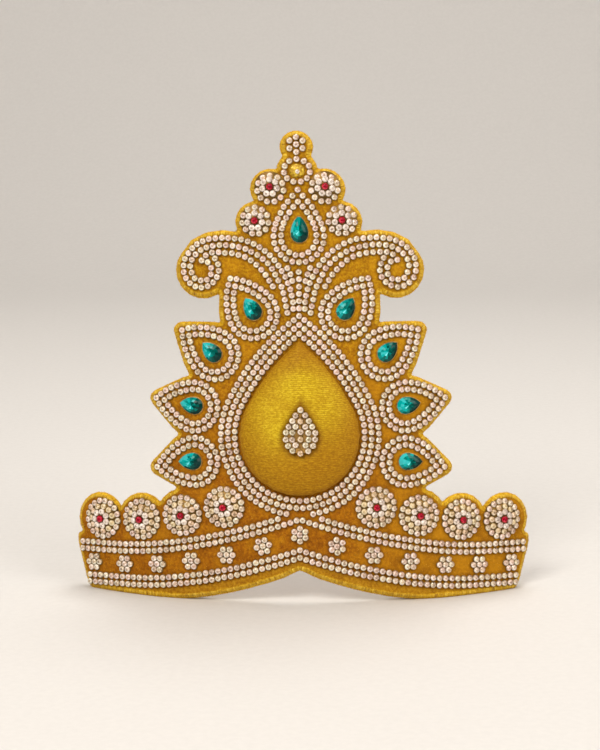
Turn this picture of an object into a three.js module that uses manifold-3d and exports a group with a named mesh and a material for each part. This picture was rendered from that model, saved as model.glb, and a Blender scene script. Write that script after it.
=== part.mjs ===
// A deity crown: a padded velvet board, cut round its ornaments, bent to sit on a head and leaning back.
// Millimetres, +Z up, front towards -Y. Every piece is laid out on the flat board first:
// u runs across the board, v runs up it, and w stands out of its front. Then the board is bent.

import * as THREE from "three";
import { mergeVertices } from "three/addons/utils/BufferGeometryUtils.js";
import Module from "manifold-3d";

// Board: bend, lean, thickness and soft edge
const BEND_RADIUS = 200;
const LEAN = THREE.MathUtils.degToRad(8);
const BOARD = 6;
const EDGE_IN = 1.8;
const EDGE_DEPTH = 2;
const BEND_STEP = 20;
const SEAT_GAP = 0.3;
const MERGE = 1e-3; // corners nearer than this are one
const SHORTEST_EDGE = 0.6; // of the board's outline

// Rows of stones: a row's half width, the step between rows, and their height over the velvet
const ROW_HALF = 1.3;
const ROW_STEP = 3.2;
const ROW_HEIGHT = 1.6;
const ROW_VALLEY = 0.8;
const ROW_TOP_HALF = 0.7;
const VELVET_MARGIN = 3.9; // velvet left outside the middle of an outer row
const TIP_REACH = 1.2; // how far a border's outer edge stands past a pointed tip, in row half widths

// Band: curves v(u) that fall from the middle to a lobe and run level from there
const BAND_CURVE_POWER = 1.8;
const BAND_UPPER = { apex: 39.9, lobeU: 85, lobe: 23.3, end: 105 };
const BAND_LOWER = { apex: 22.8, lobeU: 78, lobe: 8.3, end: 101 };
const BAND_FOOT = { apex: 15.6, lobeU: 66, end: 95 };
const BAND_STATION = 8.2;
const BAND_CORNER = { u: 102.2, v: 2.3, topU: 104.4, topV: 7.6 };
const BAND_END = { u: 109.5, lowV: 24.5, highV: 28.5 };
const FLOOR_TRIM = 0.8; // how far the padding is pressed flat where it stands

// Teardrops: the round end turns into the sides at the shoulder, an angle over the level through its middle.
// Each side is an arc whose centre lies beyond the middle, straight where it lies far away. Steps are the
// faces along each half of the round end and along each side.
const STRAIGHT = 1e5; // distance from a teardrop's middle to the centre of a straight side

// Cushion with its three border rows, and the brooch on it
const CUSHION = { v: 75.4, radius: 26.9, height: 7, arcSteps: 9, sideSteps: 3 };
const CUSHION_FORM = { shoulder: THREE.MathUtils.degToRad(26), sideCentre: 67 };
const CUSHION_BORDER = { radius: 35.2, rows: 3, arcSteps: 11, sideSteps: 4 };
const CUSHION_BASE = { inset: 0.6, rise: 1.2 }; // how its lower edge is tucked in
const CUSHION_CROWN = [
  { radius: 0.93, height: 0.45 },
  { radius: 0.74, height: 0.78 },
  { radius: 0.42, height: 0.96 },
  { radius: 0, height: 1 },
]; // rings of its crown, as shares of its radius and height
const BROOCH = { v: 74.1, radius: 7.9, height: 2.4, arcSteps: 7, sideSteps: 1 };
const BROOCH_FORM = { shoulder: THREE.MathUtils.degToRad(34.5), sideCentre: STRAIGHT };

// Petals with two border rows and a pear stone, on the right side; a tip is the direction of a point.
// The velvet of a petal is a straight teardrop, and its rows are rounder.
const VELVET_FORM = { shoulder: THREE.MathUtils.degToRad(35.5), sideCentre: STRAIGHT };
const PETAL_FORM = { shoulder: THREE.MathUtils.degToRad(13), sideCentre: 17 };
const PETAL_BORDER = { rows: 2, arcSteps: 5, sideSteps: 2 };
const PETALS = [
  {
    name: "upper",
    velvet: { u: 21.1, v: 129.8, tip: 57, radius: 11.2 },
    border: { u: 20.4, v: 129.6, tip: 57, radius: 10.9 },
    pear: { u: 20.1, v: 130.5, tip: 58 },
  },
  {
    name: "high",
    velvet: { u: 38.6, v: 111.6, tip: 36, radius: 10.9 },
    border: { u: 37.9, v: 111.4, tip: 36, radius: 10.9 },
    pear: { u: 38.3, v: 111.7, tip: 44 },
  },
  {
    name: "middle",
    velvet: { u: 47.7, v: 88.2, tip: 12, radius: 10.7 },
    border: { u: 47.4, v: 88.2, tip: 11, radius: 10.85 },
    pear: { u: 47.2, v: 88.5, tip: 10 },
  },
  {
    name: "low",
    velvet: { u: 47.9, v: 63.7, tip: -9, radius: 10.6 },
    border: { u: 47.4, v: 63.6, tip: -9, radius: 10.65 },
    pear: { u: 48, v: 63.6, tip: -2 },
  },
];
const PEAR = { radius: 3.6, height: 2.3, girdle: 0.8 };
const PEAR_FORM = { shoulder: 0, sideCentre: 4.8 };
const PEAR_TABLE = 0.6; // share of the stone's radius
const PEAR_STEPS = { arcSteps: 4, sideSteps: 2 };

// Crest: a pointed border with a pear stone, four rosettes, a ring and a finial cluster
const CREST = { v: 163.3, radius: 11.05 };
const CREST_FORM = { shoulder: THREE.MathUtils.degToRad(5), sideCentre: 17 };
const CREST_PEAR = { v: 165.1, radius: 3.7, height: 2.4, girdle: 0.8 };
const CREST_PEAR_FORM = { shoulder: 0, sideCentre: 6 };
const CREST_ROSETTES = [
  { name: "upper", u: 12, v: 185 },
  { name: "lower", u: 19.1, v: 170.7 },
];
const CREST_DISC = 9.1;
const FINIAL_RING = { v: 192.7, rowRadius: 5.3, half: 1.15, sides: 12 };
const FINIAL = { v: 204.1, discV: 203.6, disc: 7.2, ring: 3.3, stone: 1.35, turn: Math.PI / 6 };

// Scrolls, on the right side: the arm's stations from the stem up to the curl, and the curl's two rows
const SCROLL_ROWS = 3;
const SCROLL_ARM = [
  { u: 4.05, v: 131.6, half: 2.75 },
  { u: 4.9, v: 137.5, half: 3 },
  { u: 6.9, v: 143, half: 3.7 },
  { u: 10, v: 147.2, half: 4.4 },
  { u: 14, v: 152, half: 4.55 },
  { u: 20, v: 156.5, half: 4.55 },
  { u: 27.5, v: 159.2, half: 4.55 },
  { u: 35, v: 160, half: 4.55 },
  { u: 40.5, v: 159.2, half: 4.55 },
  { u: 45.3, v: 157.1, half: 4.3 },
  { u: 48.2, v: 153.9, half: 3.6 },
  { u: 49.4, v: 150.5, half: 2.8 },
];
const CURL = { u: 43.7, v: 149.4, rowRadius: 8.4, rows: 2, disc: 12.7, sides: 14 };
const STEM_FAN = [
  { u: 0, v: 131.6, half: 0.9 },
  { u: 0, v: 138, half: 1.4 },
  { u: 0, v: 144, half: 2.8 },
  { u: 0, v: 150.2, half: 5.5 },
];

// Rosettes of the band, on the right side, and the flowers between its rows. A rosette is domed:
// its rings of stones rise towards the red stone, which sits over the innermost ring.
const BAND_ROSETTES = [
  { u: 94, v: 36, scallopU: 96.5 },
  { u: 73.6, v: 36.7, scallopU: 74.4 },
  { u: 53.6, v: 39.2, scallopU: 54.4 },
  { u: 34, v: 43.4, scallopU: 34.6 },
];
const SCALLOP = 12.2; // radius of the velvet round each of the band's rosettes
const ROSETTE_SIDES = 10;
const BAND_RINGS = [
  { radius: 8.05, top: 1.6 },
  { radius: 5.5, top: 2.5 },
  { radius: 3.1, top: 3.5 },
];
const CREST_RINGS = [
  { radius: 5.75, top: 1.6 },
  { radius: 3.1, top: 3 },
];
const RING_GROOVE = 0.7; // depth of the grooves between a rosette's rings
const RED_STONE = { radius: 1.6, table: 0.9, girdle: 0.2, height: 0.9 };
const FLOWER = { pitch: 16.5, eachSide: 6, ring: 2.85, stone: 1.25 };
const FLOWER_TURN = Math.PI / 6; // of every flower but the middle one
const FLOWER_SIDES = 12;
const FLOWER_WAIST = 0.84; // reach between two stones, as a share of the reach at a stone

// The velvet field's edge, on the right side, where no motif gives it: at the band and below the crest
const FIELD_FOOT = { u: 50, v: 28 };
const FIELD_NECK = [
  { u: 33, v: 141 },
  { u: 34, v: 158 },
];

// Sides of the board's round edges: a whole disc, a teardrop's round end and its point
const DISC_SIDES = 18;
const ROUND_SIDES = 11;
const TIP_SIDES = 3;

const wasm = await Module();
wasm.setup();

const material = {
  velvet: new THREE.MeshStandardMaterial({ color: 0xc08a1c, roughness: 0.9, metalness: 0 }),
  brocade: new THREE.MeshStandardMaterial({ color: 0xd0a020, roughness: 0.55, metalness: 0.1 }),
  crystal: new THREE.MeshStandardMaterial({ color: 0xe6ddcf, roughness: 0.15, metalness: 0.2 }),
  teal: new THREE.MeshStandardMaterial({ color: 0x0d8f86, roughness: 0.08, metalness: 0.1 }),
};

// The two sides of the crown: names and signs of u
const SIDES = [
  { side: "left", sign: -1 },
  { side: "right", sign: 1 },
];

// Geometry with shared vertices merged and collapsed triangles left out
function tidied(geometry) {
  const bare = new THREE.BufferGeometry();
  bare.setAttribute("position", geometry.getAttribute("position").clone());
  bare.setIndex(geometry.index);
  const merged = mergeVertices(bare, MERGE);
  const kept = [];
  for (let i = 0; i < merged.index.count; i += 3) {
    const corners = [0, 1, 2].map((k) => merged.index.getX(i + k));
    if (new Set(corners).size === 3) kept.push(...corners);
  }
  merged.setIndex(kept);
  return merged;
}

function solidFrom(geometry) {
  const merged = tidied(geometry);
  const mesh = new wasm.Mesh({
    numProp: 3,
    vertProperties: new Float32Array(merged.getAttribute("position").array),
    triVerts: new Uint32Array(merged.index.array),
  });
  return new wasm.Manifold(mesh);
}

function geometryFrom(solid) {
  const mesh = solid.getMesh();
  const geometry = new THREE.BufferGeometry();
  geometry.setAttribute("position", new THREE.BufferAttribute(mesh.vertProperties, 3));
  geometry.setIndex(new THREE.BufferAttribute(mesh.triVerts, 1));
  return geometry;
}

// Moves every vertex of a geometry to where place(x, y, z) puts it
function remapped(geometry, place) {
  const position = geometry.getAttribute("position");
  for (let i = 0; i < position.count; i += 1) {
    const [x, y, z] = place(position.getX(i), position.getY(i), position.getZ(i));
    position.setXYZ(i, x, y, z);
  }
  return geometry;
}

// Bends flat (u, v, w) round the vertical axis behind the board
function bent(geometry) {
  return remapped(geometry, (u, v, w) => {
    const angle = u / BEND_RADIUS;
    const reach = BEND_RADIUS + w;
    return [reach * Math.sin(angle), BEND_RADIUS - reach * Math.cos(angle), v];
  });
}

// Height on the board that meets the floor at u, once the bent board leans back
function floorLine(u) {
  return BEND_RADIUS * (1 - Math.cos(u / BEND_RADIUS)) * Math.tan(LEAN);
}

function bandCurve(u, { apex, lobeU, lobe }) {
  const share = Math.max(0, 1 - Math.abs(u) / lobeU);
  return lobe + (apex - lobe) * share ** BAND_CURVE_POWER;
}

// Section of a strip of rows: a ridge for each row, from -half to +half across and from 0 up
function rowSection(rows) {
  const half = ((rows - 1) * ROW_STEP) / 2 + ROW_HALF;
  const points = [new THREE.Vector2(-half, 0), new THREE.Vector2(half, 0)];
  points.push(new THREE.Vector2(half, ROW_VALLEY));
  for (let row = rows - 1; row >= 0; row -= 1) {
    const middle = (row - (rows - 1) / 2) * ROW_STEP;
    points.push(new THREE.Vector2(middle + ROW_TOP_HALF, ROW_HEIGHT));
    points.push(new THREE.Vector2(middle - ROW_TOP_HALF, ROW_HEIGHT));
    points.push(new THREE.Vector2(row > 0 ? middle - ROW_STEP / 2 : -half, ROW_VALLEY));
  }
  return { half, points };
}

// An open strip of rows along stations that give its middle (u, v) and half width
function rowStrip(rows, stations) {
  const { half, points } = rowSection(rows);
  const steps = stations.length - 1;
  const section = new THREE.Shape(points);
  const strip = new THREE.ExtrudeGeometry(section, { depth: steps, steps, bevelEnabled: false });
  return remapped(strip, (across, up, along) => {
    const at = Math.round(along);
    const here = stations[at];
    const next = stations[Math.min(at + 1, steps)];
    const last = stations[Math.max(at - 1, 0)];
    const way = new THREE.Vector2(next.u - last.u, next.v - last.v).normalize();
    const offset = (across * here.half) / half;
    return [here.u - way.y * offset, here.v + way.x * offset, SEAT_GAP + up];
  });
}

// A profile of radius and height, lifted to just clear of the velvet
function raised(profile) {
  return profile.map(([radius, height]) => [radius, height + SEAT_GAP]);
}

// A solid of revolution whose axis stands out of the board
function turned(profile, sides) {
  const points = profile.map(([radius, height]) => new THREE.Vector2(radius, height));
  return new THREE.LatheGeometry(points, sides).rotateX(Math.PI / 2);
}

// Height of a teardrop's point over its middle
function pointHeight(radius, { shoulder, sideCentre }) {
  const reach = sideCentre + radius;
  const level = sideCentre * Math.cos(shoulder);
  return Math.sqrt(reach ** 2 - level ** 2) - sideCentre * Math.sin(shoulder);
}

// Turns a round piece into a teardrop with its point along +v. Outside tipRadius the point isn't mitred.
function teardrop(profile, { form, tipRadius, arcSteps, sideSteps }) {
  const { shoulder, sideCentre } = form;
  const sides = 2 * (arcSteps + sideSteps);
  const tipAt = (radius) => {
    const mitred = Math.min(radius, tipRadius);
    return pointHeight(mitred, form) + (radius - mitred) * TIP_REACH;
  };
  return remapped(turned(profile, sides), (x, y, w) => {
    const radius = Math.hypot(x, y);
    const station = (Math.atan2(x, -y) / (2 * Math.PI)) * sides;
    const step = Math.abs(Math.round(station));
    const sign = station < 0 ? -1 : 1;
    if (step === arcSteps + sideSteps) return [0, tipAt(radius), w];
    if (step <= arcSteps) {
      const angle = -Math.PI / 2 + (step / arcSteps) * (Math.PI / 2 + shoulder);
      return [sign * radius * Math.cos(angle), radius * Math.sin(angle), w];
    }
    const reach = sideCentre + radius;
    const last = Math.acos((sideCentre * Math.cos(shoulder)) / reach);
    const angle = shoulder + ((step - arcSteps) / sideSteps) * (last - shoulder);
    const u = reach * Math.cos(angle) - sideCentre * Math.cos(shoulder);
    return [sign * u, reach * Math.sin(angle) - sideCentre * Math.sin(shoulder), w];
  });
}

// Closed profile of a ring of rows whose outer row has its middle at radius
function ringProfile(rows, radius) {
  const { half, points } = rowSection(rows);
  const middle = radius + ROW_HALF - half;
  return raised([...points, points[0]].map((point) => [middle + point.x, point.y]));
}

function teardropBorder({ rows, arcSteps, sideSteps }, radius, form) {
  return teardrop(ringProfile(rows, radius), { form, tipRadius: radius, arcSteps, sideSteps });
}

// A pear stone: girdle, crown facets and a flat table
function pearStone({ radius, height, girdle }, form) {
  const profile = [
    [0, 0],
    [radius, 0],
    [radius, girdle],
    [radius * PEAR_TABLE, height],
    [0, height],
  ];
  return teardrop(raised(profile), { form, tipRadius: radius, ...PEAR_STEPS });
}

// A rosette: rising rings of small stones, with a groove between two of them, round a red stone
function rosette(rings) {
  const outside = rings[0].radius + ROW_HALF;
  const seat = rings.at(-1).top;
  const profile = [
    [0, 0],
    [outside, 0],
    [outside, ROW_VALLEY],
  ];
  rings.forEach(({ radius, top }, i) => {
    const inner = rings[i + 1];
    profile.push([radius, top]);
    if (inner) profile.push([(radius + inner.radius) / 2, (top + inner.top) / 2 - RING_GROOVE]);
  });
  profile.push([RED_STONE.radius, seat - RING_GROOVE]);
  profile.push([RED_STONE.radius, seat + RED_STONE.girdle]);
  profile.push([RED_STONE.table, seat + RED_STONE.height]);
  profile.push([0, seat + RED_STONE.height]);
  return turned(raised(profile), ROSETTE_SIDES);
}

// Seven stones, one in the middle of six: a low button with six lobes
function flower({ ring, stone }) {
  const outside = ring + stone;
  const profile = [
    [0, 0],
    [outside, 0],
    [outside, ROW_VALLEY],
    [ring, ROW_HEIGHT],
    [0, ROW_HEIGHT],
  ];
  return remapped(turned(raised(profile), FLOWER_SIDES), (u, v, w) => {
    const station = Math.round((Math.atan2(u, -v) / (2 * Math.PI)) * FLOWER_SIDES);
    const reach = station % 2 === 0 ? 1 : FLOWER_WAIST;
    return [u * reach, v * reach, w];
  });
}

// Finial ring: one row round a low gold dome with a single stone
function finialRing({ rowRadius, half, sides }) {
  const outside = rowRadius + half;
  const dome = rowRadius - ROW_HALF;
  const profile = [
    [0, 0],
    [outside, 0],
    [outside, ROW_VALLEY],
    [rowRadius, ROW_HEIGHT],
    [dome, ROW_VALLEY],
    [dome / 2, ROW_HEIGHT],
    [0, ROW_HEIGHT],
  ];
  return turned(raised(profile), sides);
}

// A plain prism of the board's thickness, with its front at w = 0
function prism(shape) {
  const block = new THREE.ExtrudeGeometry(shape, { depth: BOARD, bevelEnabled: false });
  return solidFrom(block.translate(0, 0, -BOARD));
}

// The outline of a prism's front, in order: the edges that the front shares with the walls
function outlineOf(solid) {
  const { vertProperties, triVerts } = solid.getMesh();
  const corner = (vertex) => new THREE.Vector3().fromArray(vertProperties, 3 * vertex);
  const next = new Map();
  for (let i = 0; i < triVerts.length; i += 3) {
    const face = [...triVerts.slice(i, i + 3)];
    const behind = face.filter((vertex) => corner(vertex).z < -MERGE);
    if (behind.length !== 1) continue;
    const k = face.indexOf(behind[0]);
    next.set(face[(k + 2) % 3], face[(k + 1) % 3]);
  }
  const outline = [];
  const first = next.keys().next().value;
  let vertex = first;
  do {
    const point = new THREE.Vector2(corner(vertex).x, corner(vertex).y);
    const last = outline.at(-1);
    if (!last || point.distanceTo(last) > SHORTEST_EDGE) outline.push(point);
    vertex = next.get(vertex);
  } while (vertex !== first);
  return new THREE.Shape(outline);
}

// The board: one outline, soft at its front and back edges
function softBoard(outline) {
  const board = new THREE.ExtrudeGeometry(outline, {
    depth: BOARD - 2 * EDGE_DEPTH,
    bevelThickness: EDGE_DEPTH,
    bevelSize: EDGE_IN,
    bevelOffset: -EDGE_IN,
    bevelSegments: 1,
  });
  return solidFrom(board.translate(0, 0, EDGE_DEPTH - BOARD));
}

function arcPoints(u, v, radius, from, to, steps) {
  const points = [];
  for (let i = 0; i <= steps; i += 1) {
    const angle = from + ((to - from) * i) / steps;
    points.push(new THREE.Vector2(u + radius * Math.cos(angle), v + radius * Math.sin(angle)));
  }
  return points;
}

function discShape(u, v, radius) {
  return new THREE.Shape(arcPoints(u, v, radius, 0, 2 * Math.PI, DISC_SIDES).slice(1));
}

// Velvet round a petal: a straight teardrop with a rounded point at the angle given
function petalShape(u, v, radius, angle) {
  const arcEnd = Math.PI / 2 - VELVET_FORM.shoulder;
  const tip = pointHeight(radius, VELVET_FORM);
  const point = new THREE.Vector2(u + tip * Math.cos(angle), v + tip * Math.sin(angle));
  const reach = radius + VELVET_MARGIN;
  const round = arcPoints(u, v, reach, angle + arcEnd, angle - arcEnd + 2 * Math.PI, ROUND_SIDES);
  const tipRound = arcPoints(point.x, point.y, VELVET_MARGIN, angle - arcEnd, angle + arcEnd, TIP_SIDES);
  return new THREE.Shape([...round, ...tipRound]);
}

// A symmetrical outline from the points of its right side, bottom first
function mirroredShape(rightSide) {
  const right = rightSide.map(({ u, v }) => new THREE.Vector2(u, v));
  const left = rightSide.filter(({ u }) => u > 0).map(({ u, v }) => new THREE.Vector2(-u, v));
  return new THREE.Shape([...right, ...left.reverse()]);
}

// The band's outline, foot first: arch, lobe, pressed foot, round corner, slanted end
function bandShape() {
  const lobe = floorLine(BAND_FOOT.lobeU);
  const foot = (u) => {
    const onFloor = u >= BAND_FOOT.lobeU;
    return (onFloor ? floorLine(u) : bandCurve(u, { ...BAND_FOOT, lobe })) - FLOOR_TRIM;
  };
  const rightSide = [{ u: 0, v: BAND_FOOT.apex }];
  for (let u = BAND_STATION; u < BAND_FOOT.end; u += BAND_STATION) rightSide.push({ u, v: foot(u) });
  rightSide.push({ u: BAND_FOOT.end, v: foot(BAND_FOOT.end) });
  rightSide.push({ u: BAND_CORNER.u, v: BAND_CORNER.v + FLOOR_TRIM });
  rightSide.push({ u: BAND_CORNER.topU, v: BAND_CORNER.topV });
  rightSide.push({ u: BAND_END.u, v: BAND_END.lowV });
  rightSide.push({ u: BAND_END.u, v: BAND_END.highV });
  rightSide.push(...BAND_ROSETTES.slice(0, 3));
  return mirroredShape(rightSide);
}

// Outline of the scroll's arm with velvet outside its outer rows
function armShape(sign) {
  const margin = VELVET_MARGIN - ROW_HALF;
  const near = [];
  const far = [];
  SCROLL_ARM.forEach((here, i) => {
    const next = SCROLL_ARM[Math.min(i + 1, SCROLL_ARM.length - 1)];
    const last = SCROLL_ARM[Math.max(i - 1, 0)];
    const way = new THREE.Vector2(next.u - last.u, next.v - last.v).normalize();
    const reach = here.half + margin;
    near.push(new THREE.Vector2(sign * (here.u - way.y * reach), here.v + way.x * reach));
    far.push(new THREE.Vector2(sign * (here.u + way.y * reach), here.v - way.x * reach));
  });
  return new THREE.Shape([...near, ...far.reverse()]);
}

// The velvet in the middle: an outline through the middles of the outer motifs
function fieldShape() {
  const petals = PETALS.map(({ velvet }) => velvet).reverse();
  const crest = [...CREST_ROSETTES].reverse();
  const top = { u: 0, v: FINIAL.v };
  return mirroredShape([FIELD_FOOT, BAND_ROSETTES[2], ...petals, ...FIELD_NECK, ...crest, top]);
}

// Splits a face that has an edge on a bend line, at each corner that other faces have along that edge
function seamed(face, seams) {
  for (let k = 0; k < 3; k += 1) {
    const [from, to, apex] = [face[k], face[(k + 1) % 3], face[(k + 2) % 3]];
    const seam = seams.get(from.x);
    if (!seam || from.x !== to.x) continue;
    const way = to.clone().sub(from);
    const along = (point) => point.clone().sub(from).dot(way) / way.lengthSq();
    const between = seam.filter((point) => {
      const share = along(point);
      const onEdge = from.clone().addScaledVector(way, share).distanceTo(point) < MERGE;
      return onEdge && share * way.length() > MERGE && (1 - share) * way.length() > MERGE;
    });
    if (!between.length) return [face];
    const chain = [from, ...between.sort((a, b) => along(a) - along(b)), to];
    return chain.slice(1).map((point, i) => [chain[i], point, apex]);
  }
  return [face];
}

// Cuts a flat solid into upright slabs and joins their skins again, so that it has edges where it bends
function creased(solid) {
  const span = 400;
  const cuts = [];
  for (let cut = BEND_STEP / 2; cut < BAND_END.u; cut += BEND_STEP) cuts.push(-cut, cut);
  cuts.sort((a, b) => a - b);
  const ends = [-span, ...cuts, span];
  const faces = [];
  ends.slice(1).forEach((high, i) => {
    const low = ends[i];
    const slab = new THREE.BoxGeometry(high - low, span * 2, span).translate((low + high) / 2, 0, 0);
    const flat = geometryFrom(solid.intersect(solidFrom(slab))).toNonIndexed().getAttribute("position");
    for (let k = 0; k < flat.count; k += 3) {
      const face = [k, k + 1, k + 2].map((corner) => new THREE.Vector3().fromBufferAttribute(flat, corner));
      for (const point of face) {
        if (Math.abs(point.x - low) < MERGE) point.x = low;
        if (Math.abs(point.x - high) < MERGE) point.x = high;
      }
      const onCut = cuts.some((cut) => face.every((point) => point.x === cut));
      if (!onCut) faces.push(face);
    }
  });
  const seams = new Map(cuts.map((cut) => [cut, faces.flat().filter((point) => point.x === cut)]));
  const skin = faces.flatMap((face) => seamed(face, seams));
  return tidied(new THREE.BufferGeometry().setFromPoints(skin.flat()));
}

// Lies flat on the floor where the board's padding would sink below it
function pressedFlat(geometry) {
  const depth = 20;
  const wide = 400;
  const floor = new THREE.BoxGeometry(wide, wide, depth).translate(0, 0, -depth / 2);
  const leaning = solidFrom(geometry.rotateX(-LEAN));
  return geometryFrom(leaning.subtract(solidFrom(floor))).rotateX(LEAN);
}

function velvetPanel() {
  const shapes = [
    bandShape(),
    fieldShape(),
    discShape(0, FINIAL_RING.v, CREST_DISC),
    discShape(0, FINIAL.discV, FINIAL.disc),
  ];
  for (const { sign } of SIDES) {
    for (const { scallopU, v } of BAND_ROSETTES) shapes.push(discShape(sign * scallopU, v, SCALLOP));
    for (const { u, v } of CREST_ROSETTES) shapes.push(discShape(sign * u, v, CREST_DISC));
    for (const { velvet } of PETALS) {
      shapes.push(petalShape(sign * velvet.u, velvet.v, velvet.radius, tipAngle(velvet, sign)));
    }
    shapes.push(armShape(sign));
    shapes.push(discShape(sign * CURL.u, CURL.v, CURL.disc));
  }
  const joined = shapes.map(prism).reduce((whole, piece) => whole.add(piece));
  return pressedFlat(bent(creased(softBoard(outlineOf(joined)))));
}

function tipAngle({ tip }, sign) {
  const right = THREE.MathUtils.degToRad(tip);
  return sign > 0 ? right : Math.PI - right;
}

// Puts a piece made with its point along +v at (u, v), with its point at the angle given
function placed(geometry, u, v, angle = Math.PI / 2) {
  return geometry.rotateZ(angle - Math.PI / 2).translate(u, v, 0);
}

// The padded cushion: a base that follows the bent board, an edge tucked in below, and a crowned front
function cushion() {
  const { radius, height, arcSteps, sideSteps } = CUSHION;
  const profile = [
    [0, 0],
    [radius / 2, 0],
    [radius - CUSHION_BASE.inset, 0],
    [radius, CUSHION_BASE.rise],
  ];
  for (const ring of CUSHION_CROWN) profile.push([ring.radius * radius, ring.height * height]);
  const shape = { form: CUSHION_FORM, tipRadius: radius, arcSteps, sideSteps };
  return placed(teardrop(raised(profile), shape), 0, CUSHION.v);
}

// The brooch: an outer row of stones, a groove and a raised middle
function brooch() {
  const { radius, height, arcSteps, sideSteps } = BROOCH;
  const profile = [
    [0, 0],
    [radius, 0],
    [radius, ROW_VALLEY],
    [radius - ROW_HALF, ROW_HEIGHT],
    [radius - 2 * ROW_HALF, ROW_VALLEY],
    [radius - 3 * ROW_HALF, height],
    [0, height],
  ];
  const shape = { form: BROOCH_FORM, tipRadius: radius, arcSteps, sideSteps };
  const seat = CUSHION.height + SEAT_GAP;
  return placed(teardrop(raised(profile), shape), 0, BROOCH.v).translate(0, 0, seat);
}

// Two of the band's rows, from end to end, cut away where the cushion's border comes down over them
function bandRows(curve) {
  const count = 2 * Math.round(curve.end / BAND_STATION);
  const stations = [];
  for (let i = 0; i <= count; i += 1) {
    const u = curve.end * ((2 * i) / count - 1);
    stations.push({ u, v: bandCurve(u, curve), half: ROW_STEP / 2 + ROW_HALF });
  }
  const clear = CUSHION_BORDER.radius + ROW_HALF + SEAT_GAP;
  const deep = 2 * ROW_HEIGHT;
  const profile = [
    [0, -deep],
    [clear, -deep],
    [clear, deep],
    [0, deep],
  ];
  const cut = solidFrom(turned(profile, 4 * DISC_SIDES).translate(0, CUSHION.v, 0));
  return geometryFrom(solidFrom(rowStrip(2, stations)).subtract(cut));
}

// A scroll: the arm that rises from the stem, and the curl at its end
function scroll(sign) {
  const stations = SCROLL_ARM.map(({ u, v, half }) => ({ u: sign * u, v, half }));
  const arm = solidFrom(rowStrip(SCROLL_ROWS, stations));
  const ring = turned(ringProfile(CURL.rows, CURL.rowRadius), CURL.sides);
  const curl = solidFrom(ring.translate(sign * CURL.u, CURL.v, 0));
  return geometryFrom(arm.add(curl));
}

const ornaments = new THREE.Group();

function addPiece(name, geometry, finish) {
  const mesh = new THREE.Mesh(tidied(geometry), finish);
  mesh.name = name;
  mesh.geometry.computeVertexNormals();
  ornaments.add(mesh);
}

// A piece laid out flat, bent with the board
function addBent(name, flat, finish) {
  addPiece(name, bent(flat), finish);
}

addPiece("velvet_panel", velvetPanel(), material.velvet);
addBent("brocade_cushion", cushion(), material.brocade);
addBent("cushion_brooch", brooch(), material.crystal);

const cushionBorder = teardropBorder(CUSHION_BORDER, CUSHION_BORDER.radius, CUSHION_FORM);
addBent("cushion_border", placed(cushionBorder, 0, CUSHION.v), material.crystal);

const crestBorder = teardropBorder(PETAL_BORDER, CREST.radius, CREST_FORM);
addBent("crest_border", placed(crestBorder, 0, CREST.v), material.crystal);
addBent("crest_stone", placed(pearStone(CREST_PEAR, CREST_PEAR_FORM), 0, CREST_PEAR.v), material.teal);
addBent("finial_ring", placed(finialRing(FINIAL_RING), 0, FINIAL_RING.v), material.crystal);
addBent("finial_cluster", placed(flower(FINIAL).rotateZ(FINIAL.turn), 0, FINIAL.v), material.crystal);
addBent("stem_fan", rowStrip(SCROLL_ROWS, STEM_FAN), material.crystal);
addBent("band_rows_upper", bandRows(BAND_UPPER), material.crystal);
addBent("band_rows_lower", bandRows(BAND_LOWER), material.crystal);

for (const { side, sign } of SIDES) {
  addBent(`scroll_${side}`, scroll(sign), material.crystal);
  for (const { name, border, pear } of PETALS) {
    const rows = teardropBorder(PETAL_BORDER, border.radius, PETAL_FORM);
    const ring = placed(rows, sign * border.u, border.v, tipAngle(border, sign));
    addBent(`petal_border_${name}_${side}`, ring, material.crystal);
    const stone = placed(pearStone(PEAR, PEAR_FORM), sign * pear.u, pear.v, tipAngle(pear, sign));
    addBent(`petal_stone_${name}_${side}`, stone, material.teal);
  }
  BAND_ROSETTES.forEach(({ u, v }, i) => {
    addBent(`band_rosette_${side}_${i + 1}`, placed(rosette(BAND_RINGS), sign * u, v), material.crystal);
  });
  for (const { name, u, v } of CREST_ROSETTES) {
    addBent(`crest_rosette_${name}_${side}`, placed(rosette(CREST_RINGS), sign * u, v), material.crystal);
  }
}

for (let i = -FLOWER.eachSide; i <= FLOWER.eachSide; i += 1) {
  const u = i * FLOWER.pitch;
  const v = (bandCurve(u, BAND_UPPER) + bandCurve(u, BAND_LOWER)) / 2;
  const turn = i === 0 ? 0 : FLOWER_TURN;
  const button = placed(flower(FLOWER).rotateZ(turn), u, v);
  addBent(`band_flower_${i + FLOWER.eachSide + 1}`, button, material.crystal);
}

// The bent board leans back and stands on the floor, with the middle of its box over the origin
ornaments.rotation.x = -LEAN;
ornaments.updateMatrixWorld(true);
const box = new THREE.Box3().setFromObject(ornaments, true);
const middle = box.getCenter(new THREE.Vector3());
ornaments.position.set(-middle.x, -middle.y, -box.min.z);

const crown = new THREE.Group();
crown.add(ornaments);

export default crown;
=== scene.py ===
# Looks of a velvet deity crown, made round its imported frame.
# The lay-out is in millimetres on the flat board: u runs across it, v runs up it and w stands out of its
# front. Meshes are in metres, in the frame, where the board is bent and leans back.
import math

import bmesh
import bpy
import numpy as np
from mathutils import Matrix, Vector, kdtree
from mathutils.bvhtree import BVHTree


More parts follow.
